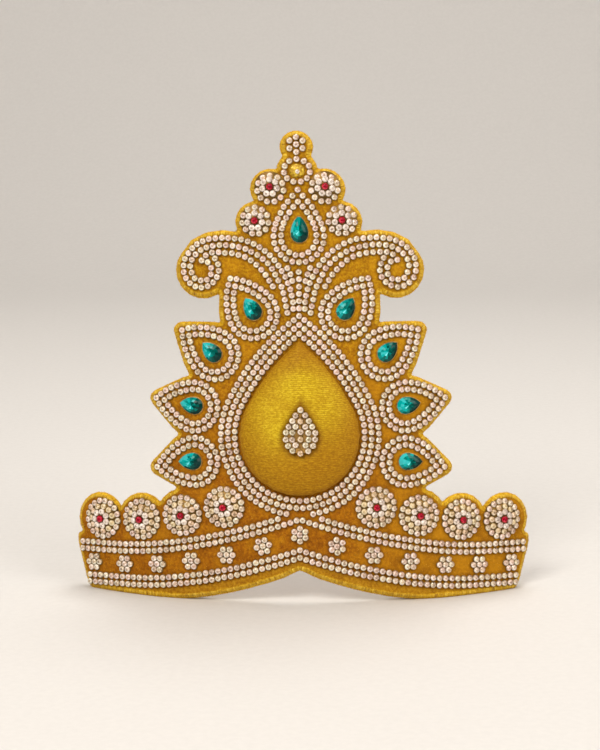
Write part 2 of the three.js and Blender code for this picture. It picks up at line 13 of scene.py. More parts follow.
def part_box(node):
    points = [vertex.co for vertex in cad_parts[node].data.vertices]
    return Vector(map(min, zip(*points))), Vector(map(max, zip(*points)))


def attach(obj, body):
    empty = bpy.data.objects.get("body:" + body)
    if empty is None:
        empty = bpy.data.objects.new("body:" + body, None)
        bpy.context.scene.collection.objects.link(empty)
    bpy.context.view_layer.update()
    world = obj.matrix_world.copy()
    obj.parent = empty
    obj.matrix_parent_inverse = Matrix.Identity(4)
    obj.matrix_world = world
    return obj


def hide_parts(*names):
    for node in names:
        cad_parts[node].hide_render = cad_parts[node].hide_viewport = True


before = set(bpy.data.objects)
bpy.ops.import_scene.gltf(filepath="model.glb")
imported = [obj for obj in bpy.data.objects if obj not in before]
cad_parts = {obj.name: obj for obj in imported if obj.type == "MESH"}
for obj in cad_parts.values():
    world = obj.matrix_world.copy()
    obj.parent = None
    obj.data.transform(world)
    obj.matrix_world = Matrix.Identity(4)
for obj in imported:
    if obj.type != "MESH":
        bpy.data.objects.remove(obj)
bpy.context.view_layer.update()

MM = 0.001

# Board
BEND_RADIUS = 200.0
LEAN = math.radians(8)
BOARD = 6.0
PANEL_VOXEL = 0.84
PANEL_SMOOTHING = 5
FOOT = {"start": 2.0, "full": 6.0}  # heights between which the edge thins from the foot up
FOOT_EDGE = 2.3  # the strip under the band's rows is coloured, with the rim's painted sheen, as if it lay at most this far from the edge
NO_STONE = 9.0  # distance to a stone that points of the back are given
DRIFT = {"from": 165.0, "slope": -0.028}  # the crest leans a little to the left, as sewn by hand

# Rows of stones: distance between stones along a row and between two rows
PITCH = 2.94
ROW_STEP = 3.2
ROW_HALF = 1.3
JITTER = 0.07
WOBBLE = math.radians(3.5)

# Overcast stitches round the board's edge, each on a path of steps out from the edge and out of the front
STITCH_PITCH = 0.8
STITCH_PATH = [(-2.1, 0.6), (-1.5, 0.7), (-0.4, 0.1), (0.2, -2.2), (-0.4, -4.2), (-1.5, -5.2), (-2.1, -5.6)]

# Band: curves v(u) that fall from the middle to a lobe and run level from there
BAND_CURVE_POWER = 1.8
BAND_UPPER = {"apex": 39.9, "lobe_u": 85, "lobe": 23.3, "end": 105.3}
BAND_LOWER = {"apex": 22.8, "lobe_u": 78, "lobe": 8.3, "end": 101.3}
BAND_TOP_ROW_START = 9.2

# Teardrops: the round end turns into the sides at the shoulder, an angle over the level through its middle.
# Each side is an arc about a centre beyond the middle, straight where that lies far away.
STRAIGHT = 1e5
CUSHION_FORM = (math.radians(26), 67.0)
BROOCH_FORM = (math.radians(31), STRAIGHT)
PETAL_FORM = (math.radians(13), 17.0)
PEAR_FORM = (0.0, 4.8)
CREST_FORM = (math.radians(5), 17.0)
CREST_PEAR_FORM = (0.0, 7.0)

# Cushion, its border and its brooch, whose edge is given on the right side from the point down
CUSHION = {"v": 75.4, "radius": 26.9}
CUSHION_VOXEL = 1.0
CUSHION_SMOOTHING = 4
CUSHION_ROWS = [35.2, 32.05, 28.9]
BORDER_GAP = 4.5
SHEEN_PATCHES = [(-10, 83, 11, 15), (11, 91, 9, 14), (0, 99, 8, 7)]  # painted sheen: middle, half width, half height
BROOCH = {"u": 0.7, "v": 76.0, "radius": 6.4, "seat": 7.35}
BROOCH_PLATE = {"v": BROOCH["v"] - 0.8, "w": BROOCH["seat"] - 0.4, "radius": BROOCH["radius"] + 0.6}
BROOCH_LIFT = {"edge": 0.2, "inner": 0.5, "axis": 0.4}
BROOCH_EDGE = [(2.0, 9.1), (3.45, 6.6), (5.0, 4.1), (6.15, 1.5), (6.2, -1.5), (5.3, -4.3), (3.3, -6.5)]
BROOCH_INNER = [(2.1, 4.1), (3.35, 1.5), (3.5, -1.5), (2.1, -4.0)]
BROOCH_AXIS = [(11.4, "crystal"), (6.5, "champagne"), (1.7, "pale"), (-1.4, "champagne"), (-7.7, "champagne")]

# Petals and pear stones, on the right side; a tip is the direction of a point in degrees
PETALS = [
    {"name": "upper", "u": 20.4, "v": 129.6, "tip": 57, "radius": 10.9, "pear": (20.1, 130.5, 58)},
    {"name": "high", "u": 37.9, "v": 111.4, "tip": 36, "radius": 10.9, "pear": (38.3, 111.7, 44)},
    {"name": "middle", "u": 47.4, "v": 88.2, "tip": 11, "radius": 10.85, "pear": (47.2, 88.5, 10)},
    {"name": "low", "u": 47.4, "v": 63.6, "tip": -9, "radius": 10.65, "pear": (48.0, 63.6, -2)},
]
PEAR = {"radius": 4.1, "blunt": 0.0}
CREST_PEAR = {"u": 0.3, "v": 164.7, "radius": 4.2, "blunt": 0.5}
PEAR_SIDES = 16
PEAR_MIDDLE = 1.2
PEAR_BEZEL = 0.5
PEAR_RINGS = [(0.93, 0.05), (1.0, 0.25), (0.72, 1.1), (0.6, 0.45)]
CREST = {"v": 163.3, "radius": 11.05}

# Rosettes: rings of stones with their height over the velvet
BAND_ROSETTES = [(94, 36), (73.6, 36.7), (53.6, 39.2), (34, 43.4)]
CREST_ROSETTES = {"upper": (11.9, 184.7), "lower": (19.0, 170.7)}
CREST_RISE = {"upper": (0.25, 0.9), "lower": (0.1, 0.0)}  # how far the flower lies off the middle of its ring
DOME_TILT = 0.28
BAND_TURN = {"first": 80, "step": 7}
BAND_RINGS = [
    {"radius": 8.05, "count": 17, "lift": 0.1, "look": "crystal", "tilt": DOME_TILT / 3},
    {"radius": 5.5, "count": 11, "lift": 0.9, "look": "champagne", "tilt": DOME_TILT},
    {"radius": 3.1, "count": 7, "lift": 1.9, "look": "clear", "tilt": DOME_TILT},
]
CREST_RINGS = [
    {"radius": 5.75, "count": 11, "lift": 0.1, "look": "crystal", "tilt": DOME_TILT / 3},
    {"radius": 3.1, "count": 7, "lift": 1.3, "look": "clear", "tilt": DOME_TILT},
]
RED_LIFT = 0.7
FLOWER = {"pitch": 16.5, "each_side": 6, "ring": 2.85, "stones": 6}
FLOWER_TURNS = {0: 90, -1: 75, 1: 94}

# Finial
FINIAL_RING = {"v": 192.6, "across": 5.8, "up": 5.05, "count": 11}
FINIAL_DOME = {"across": 3.5, "up": 3.1, "height": 1.2}
DOME_STONE = {"u": 0.2, "v": FINIAL_RING["v"] - 0.4, "lift": 1.0}
FINIAL = {"v": 204.1, "ring": 3.3}

# Scrolls, on the right side: three rows that rise from the stem, two of which end in the curl
CURL = {"u": 43.7, "v": 149.5}
SCROLL_ROWS = [
    {
        "stem": [(2.5, 131.7), (2.7, 135), (3.9, 140.8), (6.6, 147), (10.1, 152.5), (14.2, 156.8),
                 (19.3, 160.2), (24.7, 162.3), (31, 163.1), (36.7, 163.1), (42.7, 162), (47.8, 159),
                 (51.4, 154.2)],
        "curl": {"radius": 8.45, "start": 12, "end": -217, "end_radius": 7.8},
    },
    {
        "stem": [(5.1, 130), (6.3, 135.9), (7.4, 140.7), (9.9, 146), (13, 151.2), (17.6, 155), (22.9, 157.9),
                 (28.5, 159.5), (34.7, 160.1), (40.9, 159.2), (46, 156.4), (48.9, 151.4), (47.2, 145.8),
                 (44.2, 144.5), (41.3, 144.7), (39.3, 147), (39.2, 149.9), (40.7, 152.5), (43.6, 153.3)],
        "curl": None,
    },
    {
        "stem": [(11.5, 141.7), (14.7, 146.8), (18.9, 151.4), (23.7, 154.7), (29.5, 156.3), (35.5, 156.8),
                 (38.8, 156.8), (41.6, 155.6)],
        "curl": None,
    },
]
STEM_COLUMN = {"low": 132.0, "high": 148.0, "count": 6}
STEM_INNER = [(5.0, 149.8), (3.8, 147.0), (2.9, 144.1)]

SIDES = {"left": -1, "right": 1}
UP = math.pi / 2  # heading of what points up
SEEDS = {"dents": 3, "brooch": 7, "pile": 11, "stitches": 23, "pears": 40, "rosettes": 80, "fields": 100}


# Lay-out on the board

def unit(rows):
    return rows / np.linalg.norm(rows, axis=1)[:, None]


def frame_shift(v=165.1, radius=3.7, table=0.6, seat=0.3, height=2.4):
    """How far forward the frame puts the board, from the front of its crest stone, whose sizes are given."""
    front = -(seat + height) * math.cos(LEAN) + (v - table * radius) * math.sin(LEAN)
    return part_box("crest_stone")[0].y / MM - front


SHIFT = frame_shift()


def bent(flat):
    """Flat (u, v, w) in millimetres to points of the frame in metres."""
    flat = np.asarray(flat, float).reshape(-1, 3)
    angle = flat[:, 0] / BEND_RADIUS
    reach = BEND_RADIUS + flat[:, 2]
    depth = BEND_RADIUS - reach * np.cos(angle)
    y = depth * math.cos(LEAN) + flat[:, 1] * math.sin(LEAN) + SHIFT
    z = -depth * math.sin(LEAN) + flat[:, 1] * math.cos(LEAN)
    return np.stack([reach * np.sin(angle), y, z], axis=1) * MM


def to_frame(flat):
    """The same for a piece's lay-out, with the crest's drift."""
    drifted = np.array(flat, float).reshape(-1, 3)
    drifted[:, 0] += DRIFT["slope"] * np.maximum(0, drifted[:, 1] - DRIFT["from"])
    return bent(drifted)


def to_flat(points):
    """Points of the frame in metres to flat (u, v, w) in millimetres, the reverse of bent."""
    points = np.asarray(points, float).reshape(-1, 3) / MM
    y = points[:, 1] - SHIFT
    depth = y * math.cos(LEAN) - points[:, 2] * math.sin(LEAN)
    v = y * math.sin(LEAN) + points[:, 2] * math.cos(LEAN)
    angle = np.arctan2(points[:, 0], BEND_RADIUS - depth)
    reach = np.hypot(points[:, 0], BEND_RADIUS - depth)
    return np.stack([angle * BEND_RADIUS, v, reach - BEND_RADIUS], axis=1)


def board_axes(u):
    """The board's across, up and out directions at each u, as columns of 3 by 3 matrices."""
    angle = np.asarray(u, float) / BEND_RADIUS
    cos, sin, none = np.cos(angle), np.sin(angle), np.zeros_like(angle)
    upright = np.array([[cos, none, sin], [sin, none, -cos], [none, none + 1, none]])
    lean_cos, lean_sin = math.cos(LEAN), math.sin(LEAN)
    lean = np.array([[1, 0, 0], [0, lean_cos, lean_sin], [0, -lean_sin, lean_cos]])
    return lean @ upright.transpose(2, 0, 1)


def stone(u, v, look="crystal", lift=0.0, tilt=(0.0, 0.0)):
    return {"u": u, "v": v, "look": look, "lift": lift, "tilt": tilt}


def moved(along, aside, heading, u, v):
    """A point given along and beside a heading from (u, v)."""
    return (
        u + along * math.cos(heading) - aside * math.sin(heading),
        v + along * math.sin(heading) + aside * math.cos(heading),
    )


def side_end(radius, form):
    """Angle at which a teardrop's side meets its point."""
    shoulder, reach = form
    return math.acos(reach * math.cos(shoulder) / (reach + radius))


def teardrop_at(run, radius, form):
    """Point (along, aside) of half a teardrop's outline, run millimetres from its point."""
    shoulder, reach = form
    far = reach + radius
    last = side_end(radius, form)
    side = far * (last - shoulder)
    if run >= side:
        angle = shoulder - (run - side) / radius
        return radius * math.sin(angle), radius * math.cos(angle)
    angle = last - run / far
    along = far * math.sin(angle) - reach * math.sin(shoulder)
    return along, far * math.cos(angle) - reach * math.cos(shoulder)


def teardrop_points(u, v, radius, form, heading, count=None, start=0.0):
    """Points round a teardrop, the first at its tip or a share of a step beyond it."""
    shoulder, reach = form
    half = (reach + radius) * (side_end(radius, form) - shoulder) + radius * (math.pi / 2 + shoulder)
    count = count or round(2 * half / PITCH)
    points = []
    for i in range(count):
        run = 2 * half * (i + start) / count
        along, aside = teardrop_at(min(run, 2 * half - run), radius, form)
        points.append(moved(along, aside if run <= half else -aside, heading, u, v))
    return points


def ring_points(u, v, radius, count, turn=0.0):
    angles = [math.radians(turn) + 2 * math.pi * i / count for i in range(count)]
    return [(u + radius * math.cos(a), v + radius * math.sin(a)) for a in angles]


def smooth_path(points, steps=12):
    """A smooth curve through points."""
    points = np.asarray(points, float)
    ends = np.vstack([2 * points[0] - points[1], points, 2 * points[-1] - points[-2]])
    curve = []
    for a, b, c, d in zip(ends, ends[1:], ends[2:], ends[3:]):
        for t in np.arange(steps) / steps:
            bend = (2 * a - 5 * b + 4 * c - d) * t ** 2 + (3 * b - a - 3 * c + d) * t ** 3
            curve.append(0.5 * (2 * b + (c - a) * t + bend))
    return np.array(curve + [points[-1]])


def strung(path, pitch=PITCH):
    """Points along a path, evenly spaced from end to end."""
    path = np.asarray(path, float)
    runs = np.concatenate([[0], np.cumsum(np.hypot(*np.diff(path, axis=0).T))])
    count = max(1, round(runs[-1] / pitch))
    stops = np.linspace(0, runs[-1], count + 1)
    return list(zip(np.interp(stops, runs, path[:, 0]), np.interp(stops, runs, path[:, 1])))


def band_curve(u, curve):
    share = max(0.0, 1 - abs(u) / curve["lobe_u"])
    return curve["lobe"] + (curve["apex"] - curve["lobe"]) * share ** BAND_CURVE_POWER


def band_row(curve, offset, samples=241):
    """A row that runs along a band curve, offset to its upper or lower side."""
    across = np.linspace(-curve["end"], curve["end"], samples)
    middle = np.array([(u, band_curve(u, curve)) for u in across])
    way = unit(np.gradient(middle, axis=0))
    return strung(middle + offset * np.stack([-way[:, 1], way[:, 0]], axis=1))


def mirrored(points, sign):
    return [(sign * u, v) for u, v in points]


# Which stones stand for which node of the frame

def heading_of(tip, sign):
    right = math.radians(tip)
    return right if sign > 0 else math.pi - right


def rosettes_of(side, sign):
    """One side's rosettes by their nodes: the middle, the middle of the flower, the rings and their turn."""
    found = {}
    for i, (u, v) in enumerate(BAND_ROSETTES):
        middle = (sign * u, v)
        turn = BAND_TURN["first"] + BAND_TURN["step"] * i
        found[f"band_rosette_{side}_{i + 1}"] = (middle, middle, BAND_RINGS, turn)
    for name, (u, v) in CREST_ROSETTES.items():
        aside, rise = CREST_RISE[name]
        flower = (sign * (u + aside), v + rise)
        found[f"crest_rosette_{name}_{side}"] = ((sign * u, v), flower, CREST_RINGS, 90)
    return found


def rosette_stones(middle, flower, rings, turn):
    """A rosette's rings, the innermost one round the middle of its flower."""
    stones = []
    for ring in rings:
        u, v = flower if ring is rings[-1] else middle
        lean = ring["tilt"] / ring["radius"]
        for su, sv in ring_points(u, v, ring["radius"], ring["count"], turn):
            stones.append(stone(su, sv, ring["look"], ring["lift"], (lean * (su - u), lean * (sv - v))))
    return stones


def scroll_points(row, steps=60):
    path = smooth_path(row["stem"])
    if row["curl"]:
        curl = row["curl"]
        angles = np.radians(np.linspace(curl["start"], curl["end"], steps))
        radii = np.linspace(curl["radius"], curl["end_radius"], steps)
        turn = np.stack([CURL["u"] + radii * np.cos(angles), CURL["v"] + radii * np.sin(angles)], axis=1)
        path = np.vstack([path, turn])
    return strung(path)


def border(u, v, radii, form, heading=UP):
    """Rows round a teardrop, one for each radius."""
    return [point for radius in radii for point in teardrop_points(u, v, radius, form, heading)]


def crest_rows(sag=1.1, beside=5.0, start=4.0, over=6.0):
    """The crest's two rows, which sag between the tip and the round sides."""
    u, v = np.array(border(0, CREST["v"], (CREST["radius"], CREST["radius"] - ROW_STEP), CREST_FORM)).T
    share = np.clip(np.hypot(u, v - v.max()) / beside, 0, 1)
    share = share * np.clip((v - CREST["v"] - start) / over, 0, 1)
    return zip(u, v - sag * share)


def plain(points):
    return [stone(u, v) for u, v in points]


def crown_stones():
    """Every node that holds small stones, with its stones."""
    outer = border(0, CUSHION["v"], CUSHION_ROWS[:1], CUSHION_FORM)
    outer = [(u, v) for u, v in outer if abs(u) >= BORDER_GAP or v >= CUSHION["v"]]
    upper = [(u, v) for u, v in band_row(BAND_UPPER, ROW_STEP / 2) if abs(u) >= BAND_TOP_ROW_START]
    column = [(0, v) for v in np.linspace(STEM_COLUMN["low"], STEM_COLUMN["high"], STEM_COLUMN["count"])]
    ring = [(FINIAL_RING["across"] * u, FINIAL_RING["v"] + FINIAL_RING["up"] * v)
            for u, v in ring_points(0, 0, 1, FINIAL_RING["count"], 90)]
    cluster = ring_points(0, FINIAL["v"], FINIAL["ring"], FLOWER["stones"], 90) + [(0, FINIAL["v"])]
    nodes = {
        "cushion_border": plain(outer + border(0, CUSHION["v"], CUSHION_ROWS[1:], CUSHION_FORM)),
        "crest_border": plain(crest_rows()),
        "band_rows_upper": plain(upper + band_row(BAND_UPPER, -ROW_STEP / 2)),
        "band_rows_lower": plain(band_row(BAND_LOWER, ROW_STEP / 2) + band_row(BAND_LOWER, -ROW_STEP / 2)),
        "stem_fan": plain(column + STEM_INNER + mirrored(STEM_INNER, -1)),
        "finial_ring": plain(ring) + [stone(DOME_STONE["u"], DOME_STONE["v"], "small", DOME_STONE["lift"])],
        "finial_cluster": plain(cluster),
    }
    for side, sign in SIDES.items():
        nodes[f"scroll_{side}"] = plain(p for row in SCROLL_ROWS for p in mirrored(scroll_points(row), sign))
        for petal in PETALS:
            radii = (petal["radius"], petal["radius"] - ROW_STEP)
            rows = border(sign * petal["u"], petal["v"], radii, PETAL_FORM, heading_of(petal["tip"], sign))
            nodes[f"petal_border_{petal['name']}_{side}"] = plain(rows)
        for node, rosette in rosettes_of(side, sign).items():
            nodes[node] = rosette_stones(*rosette)
    reach = FLOWER["each_side"]
    for i in range(-reach, reach + 1):
        u = i * FLOWER["pitch"]
        v = (band_curve(u, BAND_UPPER) + band_curve(u, BAND_LOWER)) / 2
        ring = ring_points(u, v, FLOWER["ring"], FLOWER["stones"], FLOWER_TURNS.get(i, 0))
        nodes[f"band_flower_{i + reach + 1}"] = plain(ring + [(u, v)])
    return nodes


def brooch_stones():
    u, v, seat = BROOCH["u"], BROOCH["v"], BROOCH["seat"]
    stones = []
    for side in SIDES.values():
        for places, part in ((BROOCH_EDGE, "edge"), (BROOCH_INNER, "inner")):
            stones += [stone(u + side * du, v + dv, "pale", seat + BROOCH_LIFT[part]) for du, dv in places]
    return stones + [stone(u, v + dv, look, seat + BROOCH_LIFT["axis"]) for dv, look in BROOCH_AXIS]


# Materials

def new_material(name, **sockets):
    """A material whose main shader has these constant values, and its node tree and shader."""
    material = bpy.data.materials.new(name)
    material.use_nodes = True
    shader = material.node_tree.nodes["Principled BSDF"]
    for label, value in sockets.items():
        shader.inputs[label.replace("_", " ")].default_value = value
    return material, material.node_tree, shader


def add_node(tree, kind, links=(), **values):
    """A node with settings, or values of its inputs, and links from sockets to its inputs."""
    made = tree.nodes.new(kind)
    for label, value in values.items():
        if hasattr(made, label):
            setattr(made, label, value)
        else:
            made.inputs[label.replace("_", " ")].default_value = value
    for label, socket in dict(links).items():
        tree.links.new(socket, made.inputs[label])
    return made


def add_ramp(tree, socket, stops):
    """A colour ramp: stops are pairs of a place and a colour."""
    ramp = add_node(tree, "ShaderNodeValToRGB", {"Fac": socket})
    elements = ramp.color_ramp.elements
    while len(elements) < len(stops):
        elements.new(0.5)
    for element, (place, colour) in zip(elements, stops):
        element.position = place
        element.color = (*colour, 1)
    return ramp.outputs["Color"]


def add_mix(tree, share, first, second, blend="MIX"):
    """Two colours, each a socket or a constant, mixed by a socket or a constant share."""
    mix = tree.nodes.new("ShaderNodeMix")
    mix.data_type = "RGBA"
    mix.blend_type = blend
    for place, value in ((0, share), (6, first), (7, second)):
        if isinstance(value, bpy.types.NodeSocket):
            tree.links.new(value, mix.inputs[place])
        else:
            mix.inputs[place].default_value = value if place == 0 else (*value, 1)
    return mix.outputs[2]


def add_range(tree, socket, low, high, to_low=0.0, to_high=1.0):
    """A value carried from one range to another, smoothly and clamped."""
    made = add_node(tree, "ShaderNodeMapRange", {"Value": socket}, interpolation_type="SMOOTHSTEP")
    for label, value in (("From Min", low), ("From Max", high), ("To Min", to_low), ("To Max", to_high)):
        made.inputs[label].default_value = value
    return made.outputs["Result"]


def add_noise(tree, scale, detail=3.0, roughness=0.6, stretch=(1, 1, 1)):
    place = add_node(tree, "ShaderNodeTexCoord").outputs["Object"]
    mapped = add_node(tree, "ShaderNodeMapping", {"Vector": place}, Scale=stretch).outputs["Vector"]
    noise = add_node(
        tree, "ShaderNodeTexNoise", {"Vector": mapped}, Scale=scale, Detail=detail, Roughness=roughness)
    return noise.outputs["Fac"]


def add_product(tree, first, second):
    return add_node(tree, "ShaderNodeMath", {0: first, 1: second}, operation="MULTIPLY").outputs["Value"]


def add_layers(tree, colour, layers):
    """A colour with others laid over it: pairs of a share and a colour."""
    for share, other in layers:
        colour = add_mix(tree, share, colour, other)
    return colour


def add_bump(tree, shader, height, strength, distance):
    bump = add_node(tree, "ShaderNodeBump", {"Height": height}, Strength=strength, Distance=distance)
    tree.links.new(bump.outputs["Normal"], shader.inputs["Normal"])


def attribute(tree, name):
    return add_node(tree, "ShaderNodeAttribute", attribute_name=name).outputs["Fac"]


def velvet_material():
    """Mustard velvet with random bright and brown patches; painted light makes it more golden up and to the
    right, a painted sheen brightens the rim, and painted shade darkens the velvet just inside the rim and
    near stones.
    """
    material, tree, shader = new_material(
        "mustard_velvet", Roughness=0.85, Sheen_Weight=0.3, Sheen_Roughness=0.45,
        Sheen_Tint=(1.0, 0.68, 0.12, 1), Specular_IOR_Level=0.1)
    nap = add_noise(tree, 900, 4)
    patches = add_noise(tree, 130, 2)
    low = add_ramp(tree, nap, [
        (0.3, (0.18, 0.05, 0.002)), (0.5, (0.325, 0.105, 0.003)), (0.72, (0.48, 0.19, 0.006))])
    high = add_ramp(tree, nap, [
        (0.3, (0.22, 0.08, 0.002)), (0.5, (0.4, 0.18, 0.004)), (0.72, (0.6, 0.35, 0.01))])
    rim = add_ramp(tree, nap, [
        (0.3, (0.34, 0.15, 0.004)), (0.52, (0.62, 0.35, 0.012)), (0.7, (0.86, 0.58, 0.05))])
    place = add_node(tree, "ShaderNodeTexCoord").outputs["Object"]
    place = add_node(tree, "ShaderNodeSeparateXYZ", {"Vector": place}).outputs
    edge = attribute(tree, "edge_mm")
    # painted shade in the crease just inside the rim
    crease = add_product(tree, add_range(tree, edge, 1.9, 2.5), add_range(tree, edge, 2.5, 3.2, 0.35, 0.0))
    colour = add_layers(tree, low, [
        # more golden upward: partly painted light, partly the nap's own lie
        (add_range(tree, place["Z"], 0.05, 0.14), high),
        # painted light: brighter to the right
        (add_range(tree, place["X"], 0.01, 0.06, 0.0, 0.3), (0.58, 0.31, 0.008)),
        (add_range(tree, patches, 0.4, 0.7, 0.0, 0.45), (0.52, 0.23, 0.006)),  # bright patches
        (add_range(tree, patches, 0.3, 0.5, 0.4, 0.0), (0.2, 0.062, 0.002)),  # brown patches
        # painted sheen on the rim
        (add_range(tree, edge, 1.4, 3.0, 1.0, 0.0), rim),
        # painted shade near the stones
        (add_range(tree, attribute(tree, "stone_mm"), 1.2, 3.0, 0.38, 0.0), (0.2, 0.07, 0.004)),
        (crease, (0.16, 0.05, 0.003)),
    ])
    tree.links.new(colour, shader.inputs["Base Color"])
    add_bump(tree, shader, nap, 0.5, 0.0004)
    return material


def brocade_material():
    """Golden brocade: patches of painted sheen, fine level ribs on the right, painted shade at its edge and
    round the brooch.
    """
    rib_pitch = 0.00085
    wave_rate = 20  # the wave's angle for each unit of its scale and metre of height
    material, tree, shader = new_material(
        "golden_brocade", Roughness=0.55, Sheen_Weight=0.15, Sheen_Roughness=0.4,
        Sheen_Tint=(1.0, 0.74, 0.12, 1), Specular_IOR_Level=0.12)
    place = add_node(tree, "ShaderNodeTexCoord").outputs["Object"]
    across = add_node(tree, "ShaderNodeSeparateXYZ", {"Vector": place}).outputs["X"]
    ribs = add_node(
        tree, "ShaderNodeTexWave", {"Vector": place}, bands_direction="Z", Distortion=1.2, Detail=2.0,
        Detail_Scale=2.0, Scale=2 * math.pi / (wave_rate * rib_pitch)).outputs
    nap = add_noise(tree, 1300, 3, 0.65, (0.5, 1, 1.1))
    plain_nap = add_ramp(tree, nap, [
        (0.3, (0.26, 0.112, 0.002)), (0.5, (0.385, 0.178, 0.003)), (0.7, (0.51, 0.27, 0.008))])
    sheen_nap = add_ramp(tree, nap, [
        (0.3, (0.44, 0.265, 0.004)), (0.5, (0.62, 0.425, 0.01)), (0.7, (0.8, 0.61, 0.03))])
    patches = add_range(tree, add_noise(tree, 70, 2), 0.3, 0.7, 0.65, 1.0)
    grooves = add_range(tree, ribs["Fac"], 0.0, 0.5, 0.45, 0.0)
    ribbed = add_range(tree, across, -0.014, 0.008, 0.25, 1.0)
    colour = add_layers(tree, plain_nap, [
        # patches of painted sheen, broken up by noise
        (add_product(tree, attribute(tree, "painted_sheen"), patches), sheen_nap),
        (add_range(tree, add_noise(tree, 1500, 2), 0.56, 0.66, 0.0, 0.4), (0.26, 0.11, 0.002)),  # specks
        (add_product(tree, grooves, ribbed), (0.28, 0.12, 0.003)),
        # painted shade along the cushion's edge
        (add_range(tree, attribute(tree, "edge_mm"), 0.0, 3.5, 0.25, 0.0), (0.3, 0.1, 0.003)),
        # painted shadow round the brooch
        (add_range(tree, attribute(tree, "brooch_mm"), 0.0, 3.2, 0.75, 0.0), (0.22, 0.08, 0.003)),
    ])
    tree.links.new(colour, shader.inputs["Base Color"])
    add_bump(tree, shader, add_mix(tree, 0.5, ribs["Color"], nap), 0.45, 0.0003)
    return material


def toned_material(name, driver, stops, tints=None, bump=None, **sockets):
    """Coloured by a ramp over an attribute that driver names, or over noise, and tinted stone by stone."""
    material, tree, shader = new_material(name, **sockets)
    tone = attribute(tree, driver) if isinstance(driver, str) else add_noise(tree, *driver)
    colour = add_ramp(tree, tone, stops)
    if tints:
        colour = add_mix(tree, 1.0, colour, add_ramp(tree, attribute(tree, "tint"), tints), "MULTIPLY")
    tree.links.new(colour, shader.inputs["Base Color"])
    if bump:
        add_bump(tree, shader, tone, *bump)
    return material


VELVET = velvet_material()
BROCADE = brocade_material()
PILE = toned_material(
    "velvet_fibre", "tone",
    [(0.0, (0.32, 0.12, 0.004)), (0.5, (0.64, 0.33, 0.014)), (1.0, (0.95, 0.66, 0.09))],
    Roughness=0.6, Sheen_Weight=0.3, Sheen_Tint=(1.0, 0.75, 0.25, 1))
THREAD = toned_material(
    "golden_thread", "tone",
    [(0.0, (0.3, 0.135, 0.004)), (0.5, (0.59, 0.345, 0.013)), (1.0, (0.92, 0.67, 0.085))],
    Roughness=0.5, Sheen_Weight=0.2, Sheen_Tint=(1.0, 0.75, 0.2, 1), Specular_IOR_Level=0.3)

# Metals, duller and brighter in places: settings, backings of rosettes and brooch, and the finial's dome
# The cups' dark bronze is partly their metal, partly painted shade between the stones.
SETTING = toned_material(
    "dark_bronze", (700, 2), [(0.35, (0.16, 0.1, 0.026)), (0.65, (0.33, 0.21, 0.056))],
    Metallic=0.6, Roughness=0.45)
BACKING = toned_material(
    "dull_gold", (500, 3), [(0.35, (0.1, 0.05, 0.008)), (0.65, (0.22, 0.12, 0.02))],
    Metallic=0.7, Roughness=0.4)
PLATE = toned_material(
    "brooch_gold", (500, 3), [(0.35, (0.26, 0.13, 0.03)), (0.65, (0.6, 0.34, 0.09))],
    Metallic=0.7, Roughness=0.4)
BRIGHT_GOLD = toned_material(
    "bright_gold", (800, 3),
    [(0.35, (0.28, 0.14, 0.005)), (0.5, (0.52, 0.31, 0.012)), (0.65, (0.85, 0.62, 0.06))],
    bump=(0.7, 0.0005), Metallic=0.3, Roughness=0.32)

# Stones, whose facets differ in tone: painted highlights and reflections, and tone that differs at random
ROSE_TO_GREEN = [(0.0, (1.0, 0.89, 0.92)), (0.45, (1.0, 0.97, 0.95)), (1.0, (0.97, 1.0, 0.88))]
CUT = {"Roughness": 0.12, "Coat_Weight": 0.5, "Coat_Roughness": 0.05}
GLASS = {"Specular_IOR_Level": 0.12, "Coat_Weight": 0.1, "Coat_Roughness": 0.03}
CRYSTAL = toned_material("crystal", "tone", [
    (0.0, (0.12, 0.07, 0.045)), (0.35, (0.41, 0.29, 0.22)), (0.62, (0.71, 0.54, 0.39)),
    (0.92, (1.0, 0.95, 0.87)),
], ROSE_TO_GREEN, **CUT)
CHAMPAGNE = toned_material("champagne_crystal", "tone", [
    (0.0, (0.12, 0.065, 0.02)), (0.35, (0.39, 0.265, 0.14)), (0.62, (0.72, 0.53, 0.31)),
    (1.0, (0.95, 0.83, 0.63)),
], ROSE_TO_GREEN, **CUT)
PALE = toned_material("pale_crystal", "tone", [
    (0.0, (0.12, 0.09, 0.06)), (0.4, (0.37, 0.29, 0.2)), (0.68, (0.66, 0.55, 0.41)),
    (0.92, (1.0, 0.93, 0.81)),
], ROSE_TO_GREEN, **CUT)
CLEAR = toned_material("clear_crystal", "tone", [
    (0.0, (0.16, 0.12, 0.1)), (0.4, (0.45, 0.35, 0.29)), (0.7, (0.79, 0.67, 0.57)), (1.0, (1.0, 0.93, 0.84)),
], Roughness=0.1, Coat_Weight=0.5, Coat_Roughness=0.04)
TEAL = toned_material("teal_glass", "tone", [
    (0.0, (0.0, 0.015, 0.013)), (0.35, (0.0, 0.09, 0.075)), (0.6, (0.0, 0.22, 0.19)),
    (0.85, (0.0, 0.42, 0.42)), (1.0, (0.2, 0.8, 0.85)),
], Roughness=0.08, **GLASS)
RED = toned_material("red_glass", "tone", [
    (0.0, (0.06, 0.0, 0.006)), (0.55, (0.31, 0.0, 0.014)), (0.85, (0.5, 0.003, 0.025)),
    (1.0, (0.78, 0.06, 0.1)),
], Roughness=0.1, **GLASS)


# Modelling helpers

LEVEL = 0.999  # a face that faces up has a normal that rises more than this
SLANTED = 0.9  # and a facet or a side one that rises less than this


def deselect():
    bpy.ops.object.select_all(action="DESELECT")


def activate(*pieces):
    """Selects pieces, the first one active."""
    deselect()
    for piece in pieces:
        piece.select_set(True)
    bpy.context.view_layer.objects.active = pieces[0]


